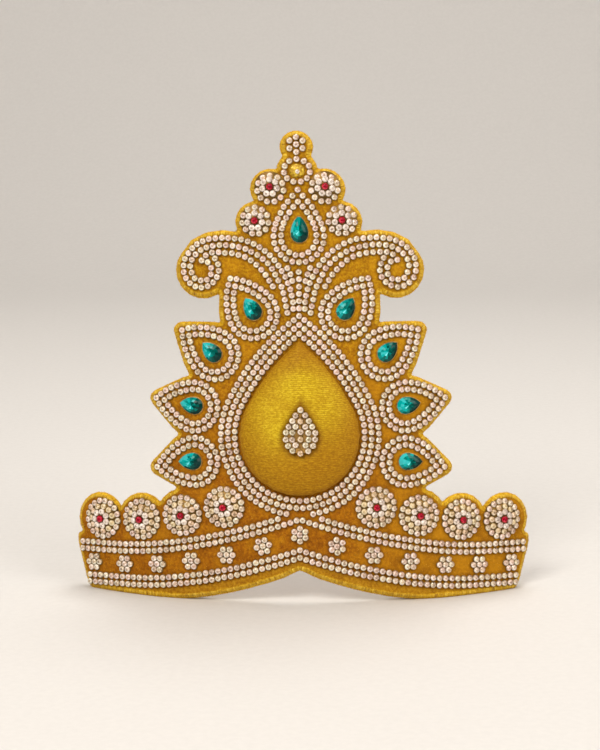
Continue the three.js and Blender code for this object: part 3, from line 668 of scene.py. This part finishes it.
def start_edit(name):
    """Names the primitive that was just added, puts its place into its mesh and opens it for editing."""
    piece = bpy.context.object
    piece.name = name
    bpy.ops.object.transform_apply(location=True, rotation=True, scale=True)
    bpy.ops.object.mode_set(mode="EDIT")
    bpy.ops.mesh.select_mode(type="FACE")
    return piece


def begin(name, add, **values):
    """Adds a primitive and opens it for editing."""
    deselect()
    add(**values)
    return start_edit(name)


def finished(piece, *materials):
    """Closes a piece after editing and gives it its materials."""
    bpy.ops.object.mode_set(mode="OBJECT")
    for material in materials:
        piece.data.materials.append(material)
    return piece


def edited(piece, operator, **values):
    """Runs one operator on a whole mesh."""
    activate(piece)
    bpy.ops.object.mode_set(mode="EDIT")
    bpy.ops.mesh.select_all(action="SELECT")
    operator(**values)
    bpy.ops.object.mode_set(mode="OBJECT")


def pick_faces(test):
    """Selects, in edit mode, just the faces that pass a test."""
    mesh = bpy.context.object.data
    sheet = bmesh.from_edit_mesh(mesh)
    sheet.normal_update()
    for face in sheet.faces:
        face.select_set(False)
    for face in sheet.faces:
        if test(face):
            face.select_set(True)
    bmesh.update_edit_mesh(mesh)


def pick_top():
    """Selects just the highest level face."""
    pick_faces(lambda face: face.normal.z > LEVEL)


def pick_edges(test):
    """Selects, in edit mode, just the edges whose two ends pass a test."""
    mesh = bpy.context.object.data
    sheet = bmesh.from_edit_mesh(mesh)
    for edge in sheet.edges:
        edge.select_set(all(test(vertex.co) for vertex in edge.verts))
    bmesh.update_edit_mesh(mesh)


def extrude(rise):
    bpy.ops.mesh.extrude_region_move(TRANSFORM_OT_translate={"value": (0, 0, rise)})


def step_in(thickness, rise):
    """Insets the selected top and moves it up."""
    bpy.ops.mesh.inset(thickness=thickness)
    bpy.ops.transform.translate(value=(0, 0, rise))


# Patterns: stones modelled once, in millimetres, standing on the flat board

def cut_stone(name, material, radius, crown, seat=0.95, sides=10, girdle=0.3, table=0.45):
    """A cut stone: a girdle, a crown of triangular facets and a small table turned half a step."""
    piece = begin(
        name, bpy.ops.mesh.primitive_cone_add, vertices=sides, radius1=radius, radius2=radius * table,
        depth=crown, location=(0, 0, seat + crown / 2))
    pick_top()
    bpy.ops.transform.rotate(value=math.pi / sides, orient_axis="Z", center_override=(0, 0, 0))
    pick_faces(lambda face: abs(face.normal.z) < SLANTED)
    bpy.ops.mesh.quads_convert_to_tris(quad_method="SHORTEST_DIAGONAL")
    pick_faces(lambda face: face.normal.z < -SLANTED)
    extrude(-girdle)
    return finished(piece, material)


def cup_setting(name, radius=1.45, foot=-0.2, height=1.0, sides=10, wall=0.1, depth=0.5):
    """A small cup that holds a stone."""
    piece = begin(
        name, bpy.ops.mesh.primitive_cylinder_add, vertices=sides, radius=radius, depth=height,
        location=(0, 0, foot + height / 2))
    pick_top()
    step_in(wall, -depth)
    return finished(piece, SETTING)


def joined(name, *pieces):
    if len(pieces) > 1:
        activate(*pieces)
        bpy.ops.object.join()
    pieces[0].name = name
    return pieces[0]


def stone_patterns():
    """One pattern for each look of the small stones."""
    patterns = {}
    for look, material in (("crystal", CRYSTAL), ("champagne", CHAMPAGNE), ("pale", PALE)):
        cut = cut_stone(f"{look}_cut", material, radius=1.36, crown=0.55)
        patterns[look] = joined(f"{look}_pattern", cut, cup_setting(f"{look}_cup"))
    patterns["clear"] = cut_stone(
        "clear_pattern", CLEAR, radius=1.45, crown=0.5, sides=8, girdle=0.6, table=0.4)
    patterns["small"] = cut_stone("small_pattern", CLEAR, radius=1.05, crown=0.6, seat=0.5, sides=8)
    patterns["red"] = cut_stone("red_pattern", RED, radius=1.48, crown=0.7, girdle=0.9, table=0.5)
    return patterns


def read(items, label, width=1, kind=float):
    """A value, or a row of width values, of each of a mesh's items."""
    values = np.empty(len(items) * width, kind)
    items.foreach_get(label, values)
    return values.reshape(-1, width) if width > 1 else values


def points_of(piece):
    return read(piece.data.vertices, "co", 3)


def set_points(mesh, points):
    mesh.vertices.foreach_set("co", points.astype(np.float32).ravel())


def set_attribute(mesh, domain, name, values):
    mesh.attributes.new(name, "FLOAT", domain).data.foreach_set("value", np.asarray(values, np.float32))


def new_object(name, mesh):
    piece = bpy.data.objects.new(name, mesh)
    bpy.context.scene.collection.objects.link(piece)
    return piece


def copies(name, points, corners, totals, slots, materials):
    """A piece of many copies: points holds each copy's points, the rest are the faces of one copy."""
    count, size = points.shape[:2]
    corners = (np.asarray(corners)[None, :] + size * np.arange(count)[:, None]).ravel()
    totals = np.tile(totals, count)
    faces = {"loop_start": np.cumsum(totals) - totals, "loop_total": totals}
    faces["material_index"] = np.tile(slots, count)
    mesh = bpy.data.meshes.new(name)
    mesh.vertices.add(count * size)
    set_points(mesh, points)
    mesh.loops.add(len(corners))
    mesh.loops.foreach_set("vertex_index", corners.astype(np.int32))
    mesh.polygons.add(len(totals))
    for label, values in faces.items():
        mesh.polygons.foreach_set(label, values.astype(np.int32))
    for material in materials:
        mesh.materials.append(material)
    mesh.update(calc_edges=True)
    return new_object(name, mesh)


def stone_axes(stones, dice):
    """Each stone's own directions in the frame: the board's, tilted, wobbled and spun."""
    axes = board_axes([s["u"] for s in stones])
    tilt = np.array([s["tilt"] for s in stones]) + dice.uniform(-WOBBLE, WOBBLE, (len(stones), 2))
    out = unit(axes[:, :, 2] + tilt[:, :1] * axes[:, :, 0] + tilt[:, 1:] * axes[:, :, 1])
    across = unit(axes[:, :, 0] - out * np.sum(axes[:, :, 0] * out, axis=1)[:, None])
    up = np.cross(out, across)
    spin = dice.uniform(0, 2 * math.pi, len(stones))[:, None]
    first = np.cos(spin) * across + np.sin(spin) * up
    second = np.cos(spin) * up - np.sin(spin) * across
    return np.stack([first, second, out], axis=2)


def facet_tones(normals, tables, dice, crown=0.77, lit=0.42, noise=0.15, table=0.42, table_noise=0.07):
    """Tones of facets: a painted highlight to the lower left, where a stone sends the light back, and a
    painted dark reflection on the table.
    """
    lower_left = np.array([-0.75, 0.0, -0.66])
    crowns = crown + lit * (normals @ lower_left) + dice.normal(0, noise, len(normals))
    return np.where(tables, table + dice.normal(0, table_noise, len(normals)), crowns)


def strewn(name, pattern, stones, seed, tone_noise=0.06):
    """One piece that holds a copy of a pattern for each stone."""
    dice = np.random.default_rng(seed)
    mesh = pattern.data
    flat_normals = read(mesh.polygons, "normal", 3)
    count, faces = len(stones), len(flat_normals)
    axes = stone_axes(stones, dice)
    flat = np.array([(s["u"], s["v"], s["lift"]) for s in stones])
    flat[:, :2] += dice.uniform(-JITTER, JITTER, (count, 2))
    points = np.einsum("nij,kj->nki", axes, points_of(pattern)) * MM + to_frame(flat)[:, None, :]
    corners = read(mesh.loops, "vertex_index", kind=int)
    totals, slots = (read(mesh.polygons, label, kind=int) for label in ("loop_total", "material_index"))
    piece = copies(name, points, corners, totals, slots, mesh.materials)
    normals = np.einsum("nij,kj->nki", axes, flat_normals).reshape(-1, 3)
    whole = np.repeat(dice.normal(0, tone_noise, count), faces)
    tones = facet_tones(normals, np.tile(flat_normals[:, 2] > LEVEL, count), dice) + whole
    set_attribute(piece.data, "FACE", "tone", np.clip(tones, 0, 1))
    set_attribute(piece.data, "FACE", "tint", np.repeat(dice.uniform(0, 1, count), faces))
    return piece


def stone_field(name, patterns, stones, seed):
    """All the small stones of one node, as one piece."""
    parts = []
    for i, look in enumerate(sorted({s["look"] for s in stones})):
        same = [s for s in stones if s["look"] == look]
        parts.append(strewn(f"{name}_{look}", patterns[look], same, seed + i))
    return joined(name, *parts)


def laid(name, pattern, u, v, heading=UP, w=0.0):
    """A copy of a pattern that points along +v, laid on the bent board with its own mesh."""
    mesh = pattern.data.copy()
    mesh.name = name
    x, y, z = points_of(pattern).T
    across, up = moved(x, y, heading - UP, u, v)
    set_points(mesh, to_frame(np.stack([across, up, w + z], axis=1)))
    mesh.update()
    return new_object(name, mesh)


def teardrop_plate(name, radius, form, sides, thick, blunt=0.0):
    """A flat plate with a teardrop's outline that points up, open for editing."""
    deselect()
    bpy.ops.mesh.primitive_circle_add(vertices=sides, radius=radius, fill_type="NGON")
    outline = teardrop_points(0, 0, radius, form, UP, sides, blunt)
    for vertex, (u, v) in zip(bpy.context.object.data.vertices, outline):
        vertex.co = (u, v, 0)
    piece = start_edit(name)
    bpy.ops.mesh.select_all(action="SELECT")
    extrude(thick)
    bpy.ops.mesh.select_all(action="SELECT")
    bpy.ops.mesh.normals_make_consistent(inside=False)
    return piece


def pear_pattern(name, pear, form, point=0.04):
    """A pear-shaped cut stone in a thin bezel: girdle, two rings of facets and a table cut into slices."""
    piece = teardrop_plate(name, pear["radius"], form, PEAR_SIDES, PEAR_BEZEL, pear["blunt"])
    for share, rise in PEAR_RINGS:
        pick_top()
        extrude(rise)
        bpy.ops.transform.resize(value=(share, share, 1), center_override=(0, PEAR_MIDDLE, 0))
    pick_top()
    bpy.ops.mesh.poke(offset=point)
    finished(piece, TEAL, PLATE)
    for face in piece.data.polygons:
        face.material_index = int(face.center.z < PEAR_BEZEL + point)
    return piece


def rosette_pattern(name, rings, beyond=1.15, thick=0.4, sides=24, inner_radius=0.6):
    """The domed backing of a rosette: a disc that steps up from ring to ring."""
    edge = rings[0]["radius"] + beyond
    height = thick / 2
    piece = begin(name, bpy.ops.mesh.primitive_cylinder_add, vertices=sides, radius=edge, depth=thick)
    middle = {"radius": inner_radius, "lift": rings[-1]["lift"] + RED_LIFT}
    for ring, inner in zip(rings, rings[1:] + [middle]):
        pick_top()
        next_edge = (ring["radius"] + inner["radius"]) / 2
        step_in(edge - next_edge, inner["lift"] - height)
        edge, height = next_edge, inner["lift"]
    return finished(piece, BACKING)


def brooch_pattern(name, sides=28, thick=0.6, inset=1.9, rise=0.35):
    """The brooch's teardrop plate, with a raised middle."""
    piece = teardrop_plate(name, BROOCH_PLATE["radius"], BROOCH_FORM, sides, thick)
    pick_top()
    step_in(inset, rise)
    return finished(piece, PLATE)


def finial_dome_pattern(name, dents=0.12):
    """The finial's low gold dome, a little dented."""
    piece = begin(
        name, bpy.ops.mesh.primitive_uv_sphere_add, segments=18, ring_count=10, radius=1, location=(0, 0, 0))
    bpy.ops.mesh.select_all(action="SELECT")
    bpy.ops.mesh.bisect(plane_co=(0, 0, 0), plane_no=(0, 0, 1), clear_inner=True, use_fill=True)
    bpy.ops.mesh.select_all(action="SELECT")
    size = (FINIAL_DOME["across"], FINIAL_DOME["up"], FINIAL_DOME["height"])
    bpy.ops.transform.resize(value=size, center_override=(0, 0, 0))
    bpy.ops.transform.vertex_random(offset=dents, seed=SEEDS["dents"])
    return finished(piece, BRIGHT_GOLD)


# Velvet board

def softened(node, name, voxel, rounds):
    """A new piece from a node's mesh, evenly meshed again and smoothed."""
    piece = new_object(name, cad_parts[node].data.copy())
    piece.data.materials.clear()
    edited(piece, bpy.ops.mesh.remove_doubles, threshold=1e-6)
    piece.data.remesh_voxel_size = voxel * MM
    piece.data.remesh_voxel_adaptivity = 0
    activate(piece)
    bpy.ops.object.voxel_remesh()
    applied(piece, "SMOOTH", factor=0.5, iterations=rounds)
    return piece


def applied(piece, kind, **values):
    """Adds a modifier, sets it and applies it."""
    activate(piece)
    modifier = piece.modifiers.new(kind.lower(), kind)
    for label, value in values.items():
        setattr(modifier, label, value)
    bpy.ops.object.modifier_apply(modifier=modifier.name)


def nearest(points, targets):
    """Distance from each point to the nearest target, in the plane of the flat board."""
    tree = kdtree.KDTree(len(targets))
    for i, (u, v) in enumerate(targets):
        tree.insert((u, v, 0), i)
    tree.balance()
    return np.array([tree.find((u, v, 0))[2] for u, v in points])


def below_rows(flat):
    """Which points lie on the strip of velvet under the band's lowest row."""
    rows = np.array([band_curve(u, BAND_LOWER) for u in flat[:, 0]]) - ROW_STEP / 2
    return flat[:, 1] < rows - ROW_HALF


def on_floor(points):
    """Points with those under the floor moved up to it."""
    points[..., 2] = np.maximum(points[..., 2], 0)
    return points


def rolled_rim(flat, edge, normals, swell=0.35, swell_reach=1.2, thin=0.35, thin_reach=2.5, drop=2.5):
    """The board's points in the frame: its edge swells, less where it faces up, and is thin from behind."""
    feet = np.clip((flat[:, 1] - FOOT["start"]) / (FOOT["full"] - FOOT["start"]), 0, 1)
    thinner = flat.copy()
    thinner[:, 2] *= 1 - thin * feet * np.exp(-edge / thin_reach)
    swell = swell * (1 - drop * np.maximum(0, normals[:, 2])) * np.exp(-edge / swell_reach)
    return on_floor(to_frame(thinner) + MM * swell[:, None] * normals)


def velvet_panel(places):
    """The padded board: the frame's solid with soft edges. places are the middles of all the stones."""
    piece = softened("velvet_panel", "velvet_board", PANEL_VOXEL, PANEL_SMOOTHING)
    mesh = piece.data
    flat = to_flat(points_of(piece))
    middle = -BOARD / 2
    wall = flat[np.abs(flat[:, 2] - middle) < 0.75 * PANEL_VOXEL]
    edge = nearest(flat[:, :2], wall[:, :2])
    beside = np.where(flat[:, 2] > middle, nearest(flat[:, :2], places), NO_STONE)
    # edge_mm carries the rim's painted sheen and the painted shade just inside it, stone_mm the painted shade
    # near stones
    set_attribute(mesh, "POINT", "edge_mm", np.where(below_rows(flat), np.minimum(edge, FOOT_EDGE), edge))
    set_attribute(mesh, "POINT", "stone_mm", beside)
    set_points(mesh, rolled_rim(flat, edge, read(mesh.vertices, "normal", 3)))
    mesh.materials.append(VELVET)
    activate(piece)
    bpy.ops.object.shade_smooth()
    return piece


def velvet_pile(board, count=18000, stone_gap=1.9, floor_gap=0.6, sway=0.5, root=0.1, radius=0.075):
    """Short fibres that stand out of the velvet, thickest on the rim, thin behind and clear of the stones."""
    field, rim, rim_reach = 0.3, 0.5, 1.6
    back, back_skin = 0.5, 0.5
    shortest, longest = 0.45, 0.85
    tone, tone_noise = 0.45, 0.25
    spike = [(0, 2, 1), (0, 1, 3), (1, 2, 3), (2, 0, 3)]
    dice = np.random.default_rng(SEEDS["pile"])
    mesh = board.data
    points = points_of(board)
    edge, beside = (read(mesh.attributes[name].data, "value") for name in ("edge_mm", "stone_mm"))
    corners = read(mesh.loops, "vertex_index", kind=int)
    starts = read(mesh.polygons, "loop_start", kind=int)
    first = corners[starts]
    weight = read(mesh.polygons, "area") * (field + rim * np.exp(-edge[first] / rim_reach))
    weight[beside[first] < stone_gap] = 0
    weight[to_flat(points[first])[:, 2] < -BOARD + back_skin] *= back
    weight[points[first][:, 2] < floor_gap * MM] = 0
    chosen = dice.choice(len(weight), count, p=weight / weight.sum())
    spread = np.stack([corners[starts[chosen] + k] for k in range(4)], axis=1)
    roots = np.einsum("nk,nkj->nj", dice.dirichlet(np.ones(4), count), points[spread])
    normals = read(mesh.polygons, "normal", 3)[chosen]
    ways = unit(normals + dice.normal(0, sway, (count, 3)))
    tips = roots + ways * dice.uniform(shortest, longest, count)[:, None] * MM
    sideways = unit(np.cross(ways, dice.normal(0, 1, (count, 3))))
    third = np.cross(ways, sideways)
    feet = []
    for angle in (0, 2 * math.pi / 3, 4 * math.pi / 3):
        around = math.cos(angle) * sideways + math.sin(angle) * third
        feet.append(roots - normals * root * MM + radius * MM * around)
    sides = len(spike)
    spikes = on_floor(np.stack(feet + [tips], axis=1))
    pile = copies("velvet_pile", spikes, np.ravel(spike), [3] * sides, [0] * sides, [PILE])
    tones = np.clip(dice.normal(tone, tone_noise, count), 0, 1)
    set_attribute(pile.data, "FACE", "tone", np.repeat(tones, sides))
    return pile


def board_outline(board, window=5):
    """The board's edge on the flat: evenly spaced points, the way along it and the way out of the board."""
    sheet = bmesh.new()
    sheet.from_mesh(board.data)
    for vertex, place in zip(sheet.verts, to_flat(points_of(board))):
        vertex.co = place
    bmesh.ops.bisect_plane(
        sheet, geom=sheet.verts[:] + sheet.edges[:] + sheet.faces[:], plane_co=(0, 0, -BOARD / 3),
        plane_no=(0, 0, 1), clear_inner=True, clear_outer=True)
    loops = []
    left = dict.fromkeys(sheet.verts)
    while left:
        ahead = [next(iter(left))]
        loop = []
        while ahead:
            loop.append(ahead[0])
            del left[ahead[0]]
            ahead = [edge.other_vert(loop[-1]) for edge in loop[-1].link_edges]
            ahead = [vertex for vertex in ahead if vertex in left]
        loops.append(np.array([vertex.co[:2] for vertex in loop]))
    sheet.free()
    loop = max(loops, key=len)
    half = window // 2
    kernel = np.full(window, 1 / window)
    wrapped = np.vstack([loop[-half:], loop, loop[:half]])
    loop = np.stack([np.convolve(column, kernel, "valid") for column in wrapped.T], axis=1)
    points = np.array(strung(np.vstack([loop, loop[:1]]), STITCH_PITCH)[:-1])
    along = unit(np.roll(points, -1, axis=0) - np.roll(points, 1, axis=0))
    turning = np.sum(points[:, 0] * np.roll(points[:, 1], -1) - points[:, 1] * np.roll(points[:, 0], -1))
    out = np.stack([along[:, 1], -along[:, 0]], axis=1) * np.sign(turning)
    return points, along, out


def bent_at(points, w):
    """Points of the frame over points (u, v) of the flat board."""
    return bent(np.column_stack([points, np.full(len(points), w)]))


def edge_stitches(board, half=0.42, crest=0.2, root=0.2, sway=0.12, end=0.15, tone=0.5, tone_noise=0.16):
    """Golden overcast stitches, each a low ridge that lies on the board from its front over its edge."""
    lowest, highest = 0.75 * crest, 1.2 * crest
    dice = np.random.default_rng(SEEDS["stitches"])
    points, along, out = board_outline(board)
    count, steps = len(points), len(STITCH_PATH)
    points = points + dice.normal(0, sway, (count, 1)) * along
    ways = unit(bent_at(points + along, 0) - bent_at(points, 0))
    surface = BVHTree.FromPolygons(
        [vertex.co for vertex in board.data.vertices], [face.vertices for face in board.data.polygons])
    crests = dice.uniform(lowest, highest, count)[:, None]
    rings = []
    for k, (outwards, w) in enumerate(STITCH_PATH):
        found = [surface.find_nearest(place) for place in bent_at(points + outwards * out, w)]
        seat, normal = (np.array([hit[i] for hit in found]) for i in (0, 1))
        full = MM * (end if k in (0, steps - 1) else 1.0)
        aside = full * half * ways
        rings += [seat - aside, seat + full * crests * normal, seat + aside, seat - MM * root * normal]
    faces = [[4 * k + i, 4 * k + (i + 1) % 4, 4 * k + 4 + (i + 1) % 4, 4 * k + 4 + i]
             for k in range(steps - 1) for i in range(4)]
    last = 4 * (steps - 1)
    faces += [[3, 2, 1, 0], [last, last + 1, last + 2, last + 3]]
    sides = len(faces)
    ridges = on_floor(np.stack(rings, axis=1))
    piece = copies("edge_stitches", ridges, np.ravel(faces), [4] * sides, [0] * sides, [THREAD])
    tones = np.clip(dice.normal(tone, tone_noise, count), 0, 1)
    set_attribute(piece.data, "FACE", "tone", np.repeat(tones, sides))
    edited(piece, bpy.ops.mesh.normals_make_consistent, inside=False)
    return piece


# Brocade cushion

def swell(piece, held_below=1.4, pressure=4, frames=20, most=0.9):
    """Puffs the cushion with cloth under pressure, held along its foot, and caps how far it moves."""
    start = points_of(piece)
    held = piece.vertex_groups.new(name="held")
    held.add([int(i) for i in np.flatnonzero(to_flat(start)[:, 2] < held_below)], 1.0, "REPLACE")
    activate(piece)
    cloth = piece.modifiers.new("cloth", "CLOTH")
    cloth.settings.use_pressure = True
    cloth.settings.uniform_pressure_force = pressure
    cloth.settings.vertex_group_mass = "held"
    cloth.settings.effector_weights.gravity = 0
    scene = bpy.context.scene
    for number in range(1, frames + 1):
        scene.frame_set(number)
    bpy.ops.object.modifier_apply(modifier=cloth.name)
    scene.frame_set(1)
    piece.vertex_groups.clear()
    moves = points_of(piece) - start
    reach = np.maximum(np.linalg.norm(moves, axis=1)[:, None], 1e-9)
    set_points(piece.data, start + moves * np.minimum(1, most * MM / reach))
    piece.data.update()


def teardrop_inset(flat, u, v, radius, form):
    """How far points lie inside a teardrop that points up, negative outside it."""
    shoulder, reach = form
    across = np.abs(flat[:, 0] - u)
    up = flat[:, 1] - v
    side = np.hypot(across + reach * math.cos(shoulder), up + reach * math.sin(shoulder)) - reach
    above = up * math.cos(shoulder) > across * math.sin(shoulder)
    return radius - np.where(above, side, np.hypot(across, up))


def brocade_cushion(beyond=0.9, dent=0.7, dent_reach=2.2, front=3.0):
    """The cushion: the frame's solid, puffed, and its front pressed in round the brooch."""
    piece = softened("brocade_cushion", "brocade_pad", CUSHION_VOXEL, CUSHION_SMOOTHING)
    swell(piece)
    applied(piece, "SUBSURF", levels=1, render_levels=1)
    mesh = piece.data
    flat = to_flat(points_of(piece))
    brooch = teardrop_inset(flat, BROOCH["u"], BROOCH_PLATE["v"], BROOCH["radius"] + beyond, BROOCH_FORM)
    brooch = np.maximum(-brooch, 0)
    flat[:, 2] -= dent * np.exp(-brooch / dent_reach) * (flat[:, 2] > front)
    set_points(mesh, to_frame(flat))
    inset = teardrop_inset(flat, 0, CUSHION["v"], CUSHION["radius"], CUSHION_FORM)
    # Patches of painted sheen on the cushion
    painted_sheen = sum(np.exp(-((flat[:, 0] - u) / wide) ** 2 - ((flat[:, 1] - v) / high) ** 2)
                  for u, v, wide, high in SHEEN_PATCHES)
    # brooch_mm carries the painted shadow round the brooch, edge_mm the painted shade along the edge
    set_attribute(mesh, "POINT", "brooch_mm", brooch)
    set_attribute(mesh, "POINT", "edge_mm", np.maximum(inset, 0))
    set_attribute(mesh, "POINT", "painted_sheen", np.clip(painted_sheen, 0, 1))
    mesh.materials.append(BROCADE)
    mesh.update()
    activate(piece)
    bpy.ops.object.shade_smooth()
    return piece


# Putting the crown together

def pear_tones(piece, seed, mean=0.44, rise=0.05, fall=0.12, patch=0.5, noise=0.15):
    """Tones of a pear's facets, painted light: darker to the right, with a painted highlight patch to the
    lower left and a painted glint.
    """
    left, low, spread = 0.9, 1.0, 1.5
    spark_left, spark_low = 0.8, 0.9
    darkest, brightest = 0.08, 0.88
    dice = np.random.default_rng(seed)
    middles = read(piece.data.polygons, "center", 3) / MM
    across, _, up = (middles - middles.mean(axis=0)).T
    tones = mean + rise * up - fall * across
    tones += patch * np.exp(-((across + left) ** 2 + (up + low) ** 2) / spread)
    tones = np.clip(tones + dice.normal(0, noise, len(across)), darkest, brightest)
    tones[np.argmin((across + spark_left) ** 2 + (up + spark_low) ** 2)] = 1.0
    set_attribute(piece.data, "FACE", "tone", tones)


def dress(piece, slot, *nodes):
    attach(piece, "root")
    if nodes:
        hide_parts(*nodes)


def pears():
    petal_pear = pear_pattern("petal_pear", PEAR, PEAR_FORM)
    crest_pear = pear_pattern("crest_pear", CREST_PEAR, CREST_PEAR_FORM)
    made = [("crest_stone", laid("crest_pear_stone", crest_pear, CREST_PEAR["u"], CREST_PEAR["v"]))]
    for side, sign in SIDES.items():
        for petal in PETALS:
            label = f"{petal['name']}_{side}"
            u, v, tip = petal["pear"]
            pear = laid(f"petal_pear_{label}", petal_pear, sign * u, v, heading_of(tip, sign))
            made.append((f"petal_stone_{label}", pear))
    for seed, (node, pear) in enumerate(made):
        pear_tones(pear, SEEDS["pears"] + seed)
        dress(pear, "teal_stone", node)
    return [petal_pear, crest_pear]


def rosettes(patterns):
    band = rosette_pattern("band_rosette_backing", BAND_RINGS)
    crest = rosette_pattern("crest_rosette_backing", CREST_RINGS)
    found = {}
    for side, sign in SIDES.items():
        found.update(rosettes_of(side, sign))
    for seed, (node, (_, flower, rings, _)) in enumerate(found.items()):
        backing = laid(f"{node}_backing", band if rings is BAND_RINGS else crest, *flower)
        dress(backing, "gold_backing")
        red = [stone(*flower, "red", rings[-1]["lift"] + RED_LIFT)]
        dress(strewn(f"{node}_red", patterns["red"], red, SEEDS["rosettes"] + seed), "red_stone")
    return [band, crest]


def build_crown():
    patterns = stone_patterns()
    spare = list(patterns.values())
    fields = crown_stones()
    places = [(s["u"], s["v"]) for stones in fields.values() for s in stones]
    for seed, (node, stones) in enumerate(fields.items()):
        field = stone_field(f"{node}_stones", patterns, stones, SEEDS["fields"] + 10 * seed)
        dress(field, "crystal", node)
    brooch = stone_field("brooch_stones", patterns, brooch_stones(), SEEDS["brooch"])
    dress(brooch, "crystal", "cushion_brooch")
    plate = brooch_pattern("brooch_plate_pattern")
    dress(laid("brooch_plate", plate, BROOCH["u"], BROOCH_PLATE["v"], w=BROOCH_PLATE["w"]), "gold_backing")
    dome = finial_dome_pattern("finial_dome_pattern")
    dress(laid("finial_dome", dome, 0, FINIAL_RING["v"]), "gold_backing")
    spare += [plate, dome] + pears() + rosettes(patterns)
    board = velvet_panel(places)
    dress(board, "velvet", "velvet_panel")
    dress(velvet_pile(board), "velvet")
    dress(edge_stitches(board), "velvet")
    cushion = brocade_cushion()
    dress(cushion, "brocade", "brocade_cushion")
    for pattern in spare:
        bpy.data.objects.remove(pattern)


# Camera, light and stage

CAMERA = {"azimuth": 2.31, "elevation": 11.0, "roll": -0.524, "distance": 900.0,
          "target": (0.387, 12.0, 101.92), "lens": 122.25, "sensor": 36.0}


def add_camera():
    target = Vector(CAMERA["target"]) + Vector((0, SHIFT, 0))
    upright = Matrix.Rotation(math.pi / 2 - math.radians(CAMERA["elevation"]), 3, "X")
    aim = Matrix.Rotation(math.radians(CAMERA["azimuth"]), 3, "Z") @ upright
    aim = aim @ Matrix.Rotation(math.radians(CAMERA["roll"]), 3, "Z")
    view = aim @ Vector((0, 0, -1))
    bpy.ops.object.camera_add(location=(target - CAMERA["distance"] * view) * MM)
    camera = bpy.context.object
    camera.rotation_euler = aim.to_euler()
    camera.data.sensor_fit = "HORIZONTAL"
    camera.data.sensor_width = CAMERA["sensor"]
    camera.data.lens = CAMERA["lens"]
    camera.data.clip_start = 0.01
    bpy.context.scene.camera = camera


def add_light(name, place, size, power, colour, aim=(0, 0, 0.1)):
    """A square soft light that faces the crown."""
    deselect()
    bpy.ops.object.light_add(type="AREA", location=place)
    light = bpy.context.object
    light.name = name
    light.data.size = size
    light.data.energy = power
    light.data.color = colour
    light.rotation_euler = (Vector(aim) - Vector(place)).to_track_quat("-Z", "Y").to_euler()


def add_stage(colour=(0.765, 0.75, 0.735), grain=0.97, back=1.3, wall=2.5, sweep=0.5):
    """A pale floor that sweeps up into a backdrop."""
    floor = begin("floor", bpy.ops.mesh.primitive_plane_add, size=4, location=(0, -0.6, 0))
    bpy.ops.mesh.select_mode(type="EDGE")
    pick_edges(lambda place: place.y > back)
    extrude(wall)
    pick_edges(lambda place: place.y > back and place.z < wall / 2)
    bpy.ops.mesh.bevel(offset=sweep, segments=16, affect="EDGES")
    stops = [(0.35, [grain * c for c in colour]), (0.65, colour)]
    finished(floor, toned_material("pale_stage", (300, 3), stops, Roughness=0.8, Specular_IOR_Level=0.2))
    bpy.ops.object.shade_smooth()


def add_world(colour=(1.0, 0.95, 0.89, 1), strength=0.57):
    world = bpy.data.worlds.new("soft_room")
    world.use_nodes = True
    background = world.node_tree.nodes["Background"]
    background.inputs["Color"].default_value = colour
    background.inputs["Strength"].default_value = strength
    bpy.context.scene.world = world


bpy.context.scene.view_settings.view_transform = "Standard"
add_camera()
add_world()
add_light("key_light", (-0.45, -0.95, 1.1), size=0.7, power=15.5, colour=(1.0, 0.95, 0.88))
add_light("fill_light", (0.95, -0.7, 0.8), size=0.8, power=8.5, colour=(1.0, 0.95, 0.9))
add_light("top_light", (0.15, 0.35, 1.1), size=0.6, power=6.5, colour=(1.0, 0.96, 0.9))
add_stage()
build_crown()
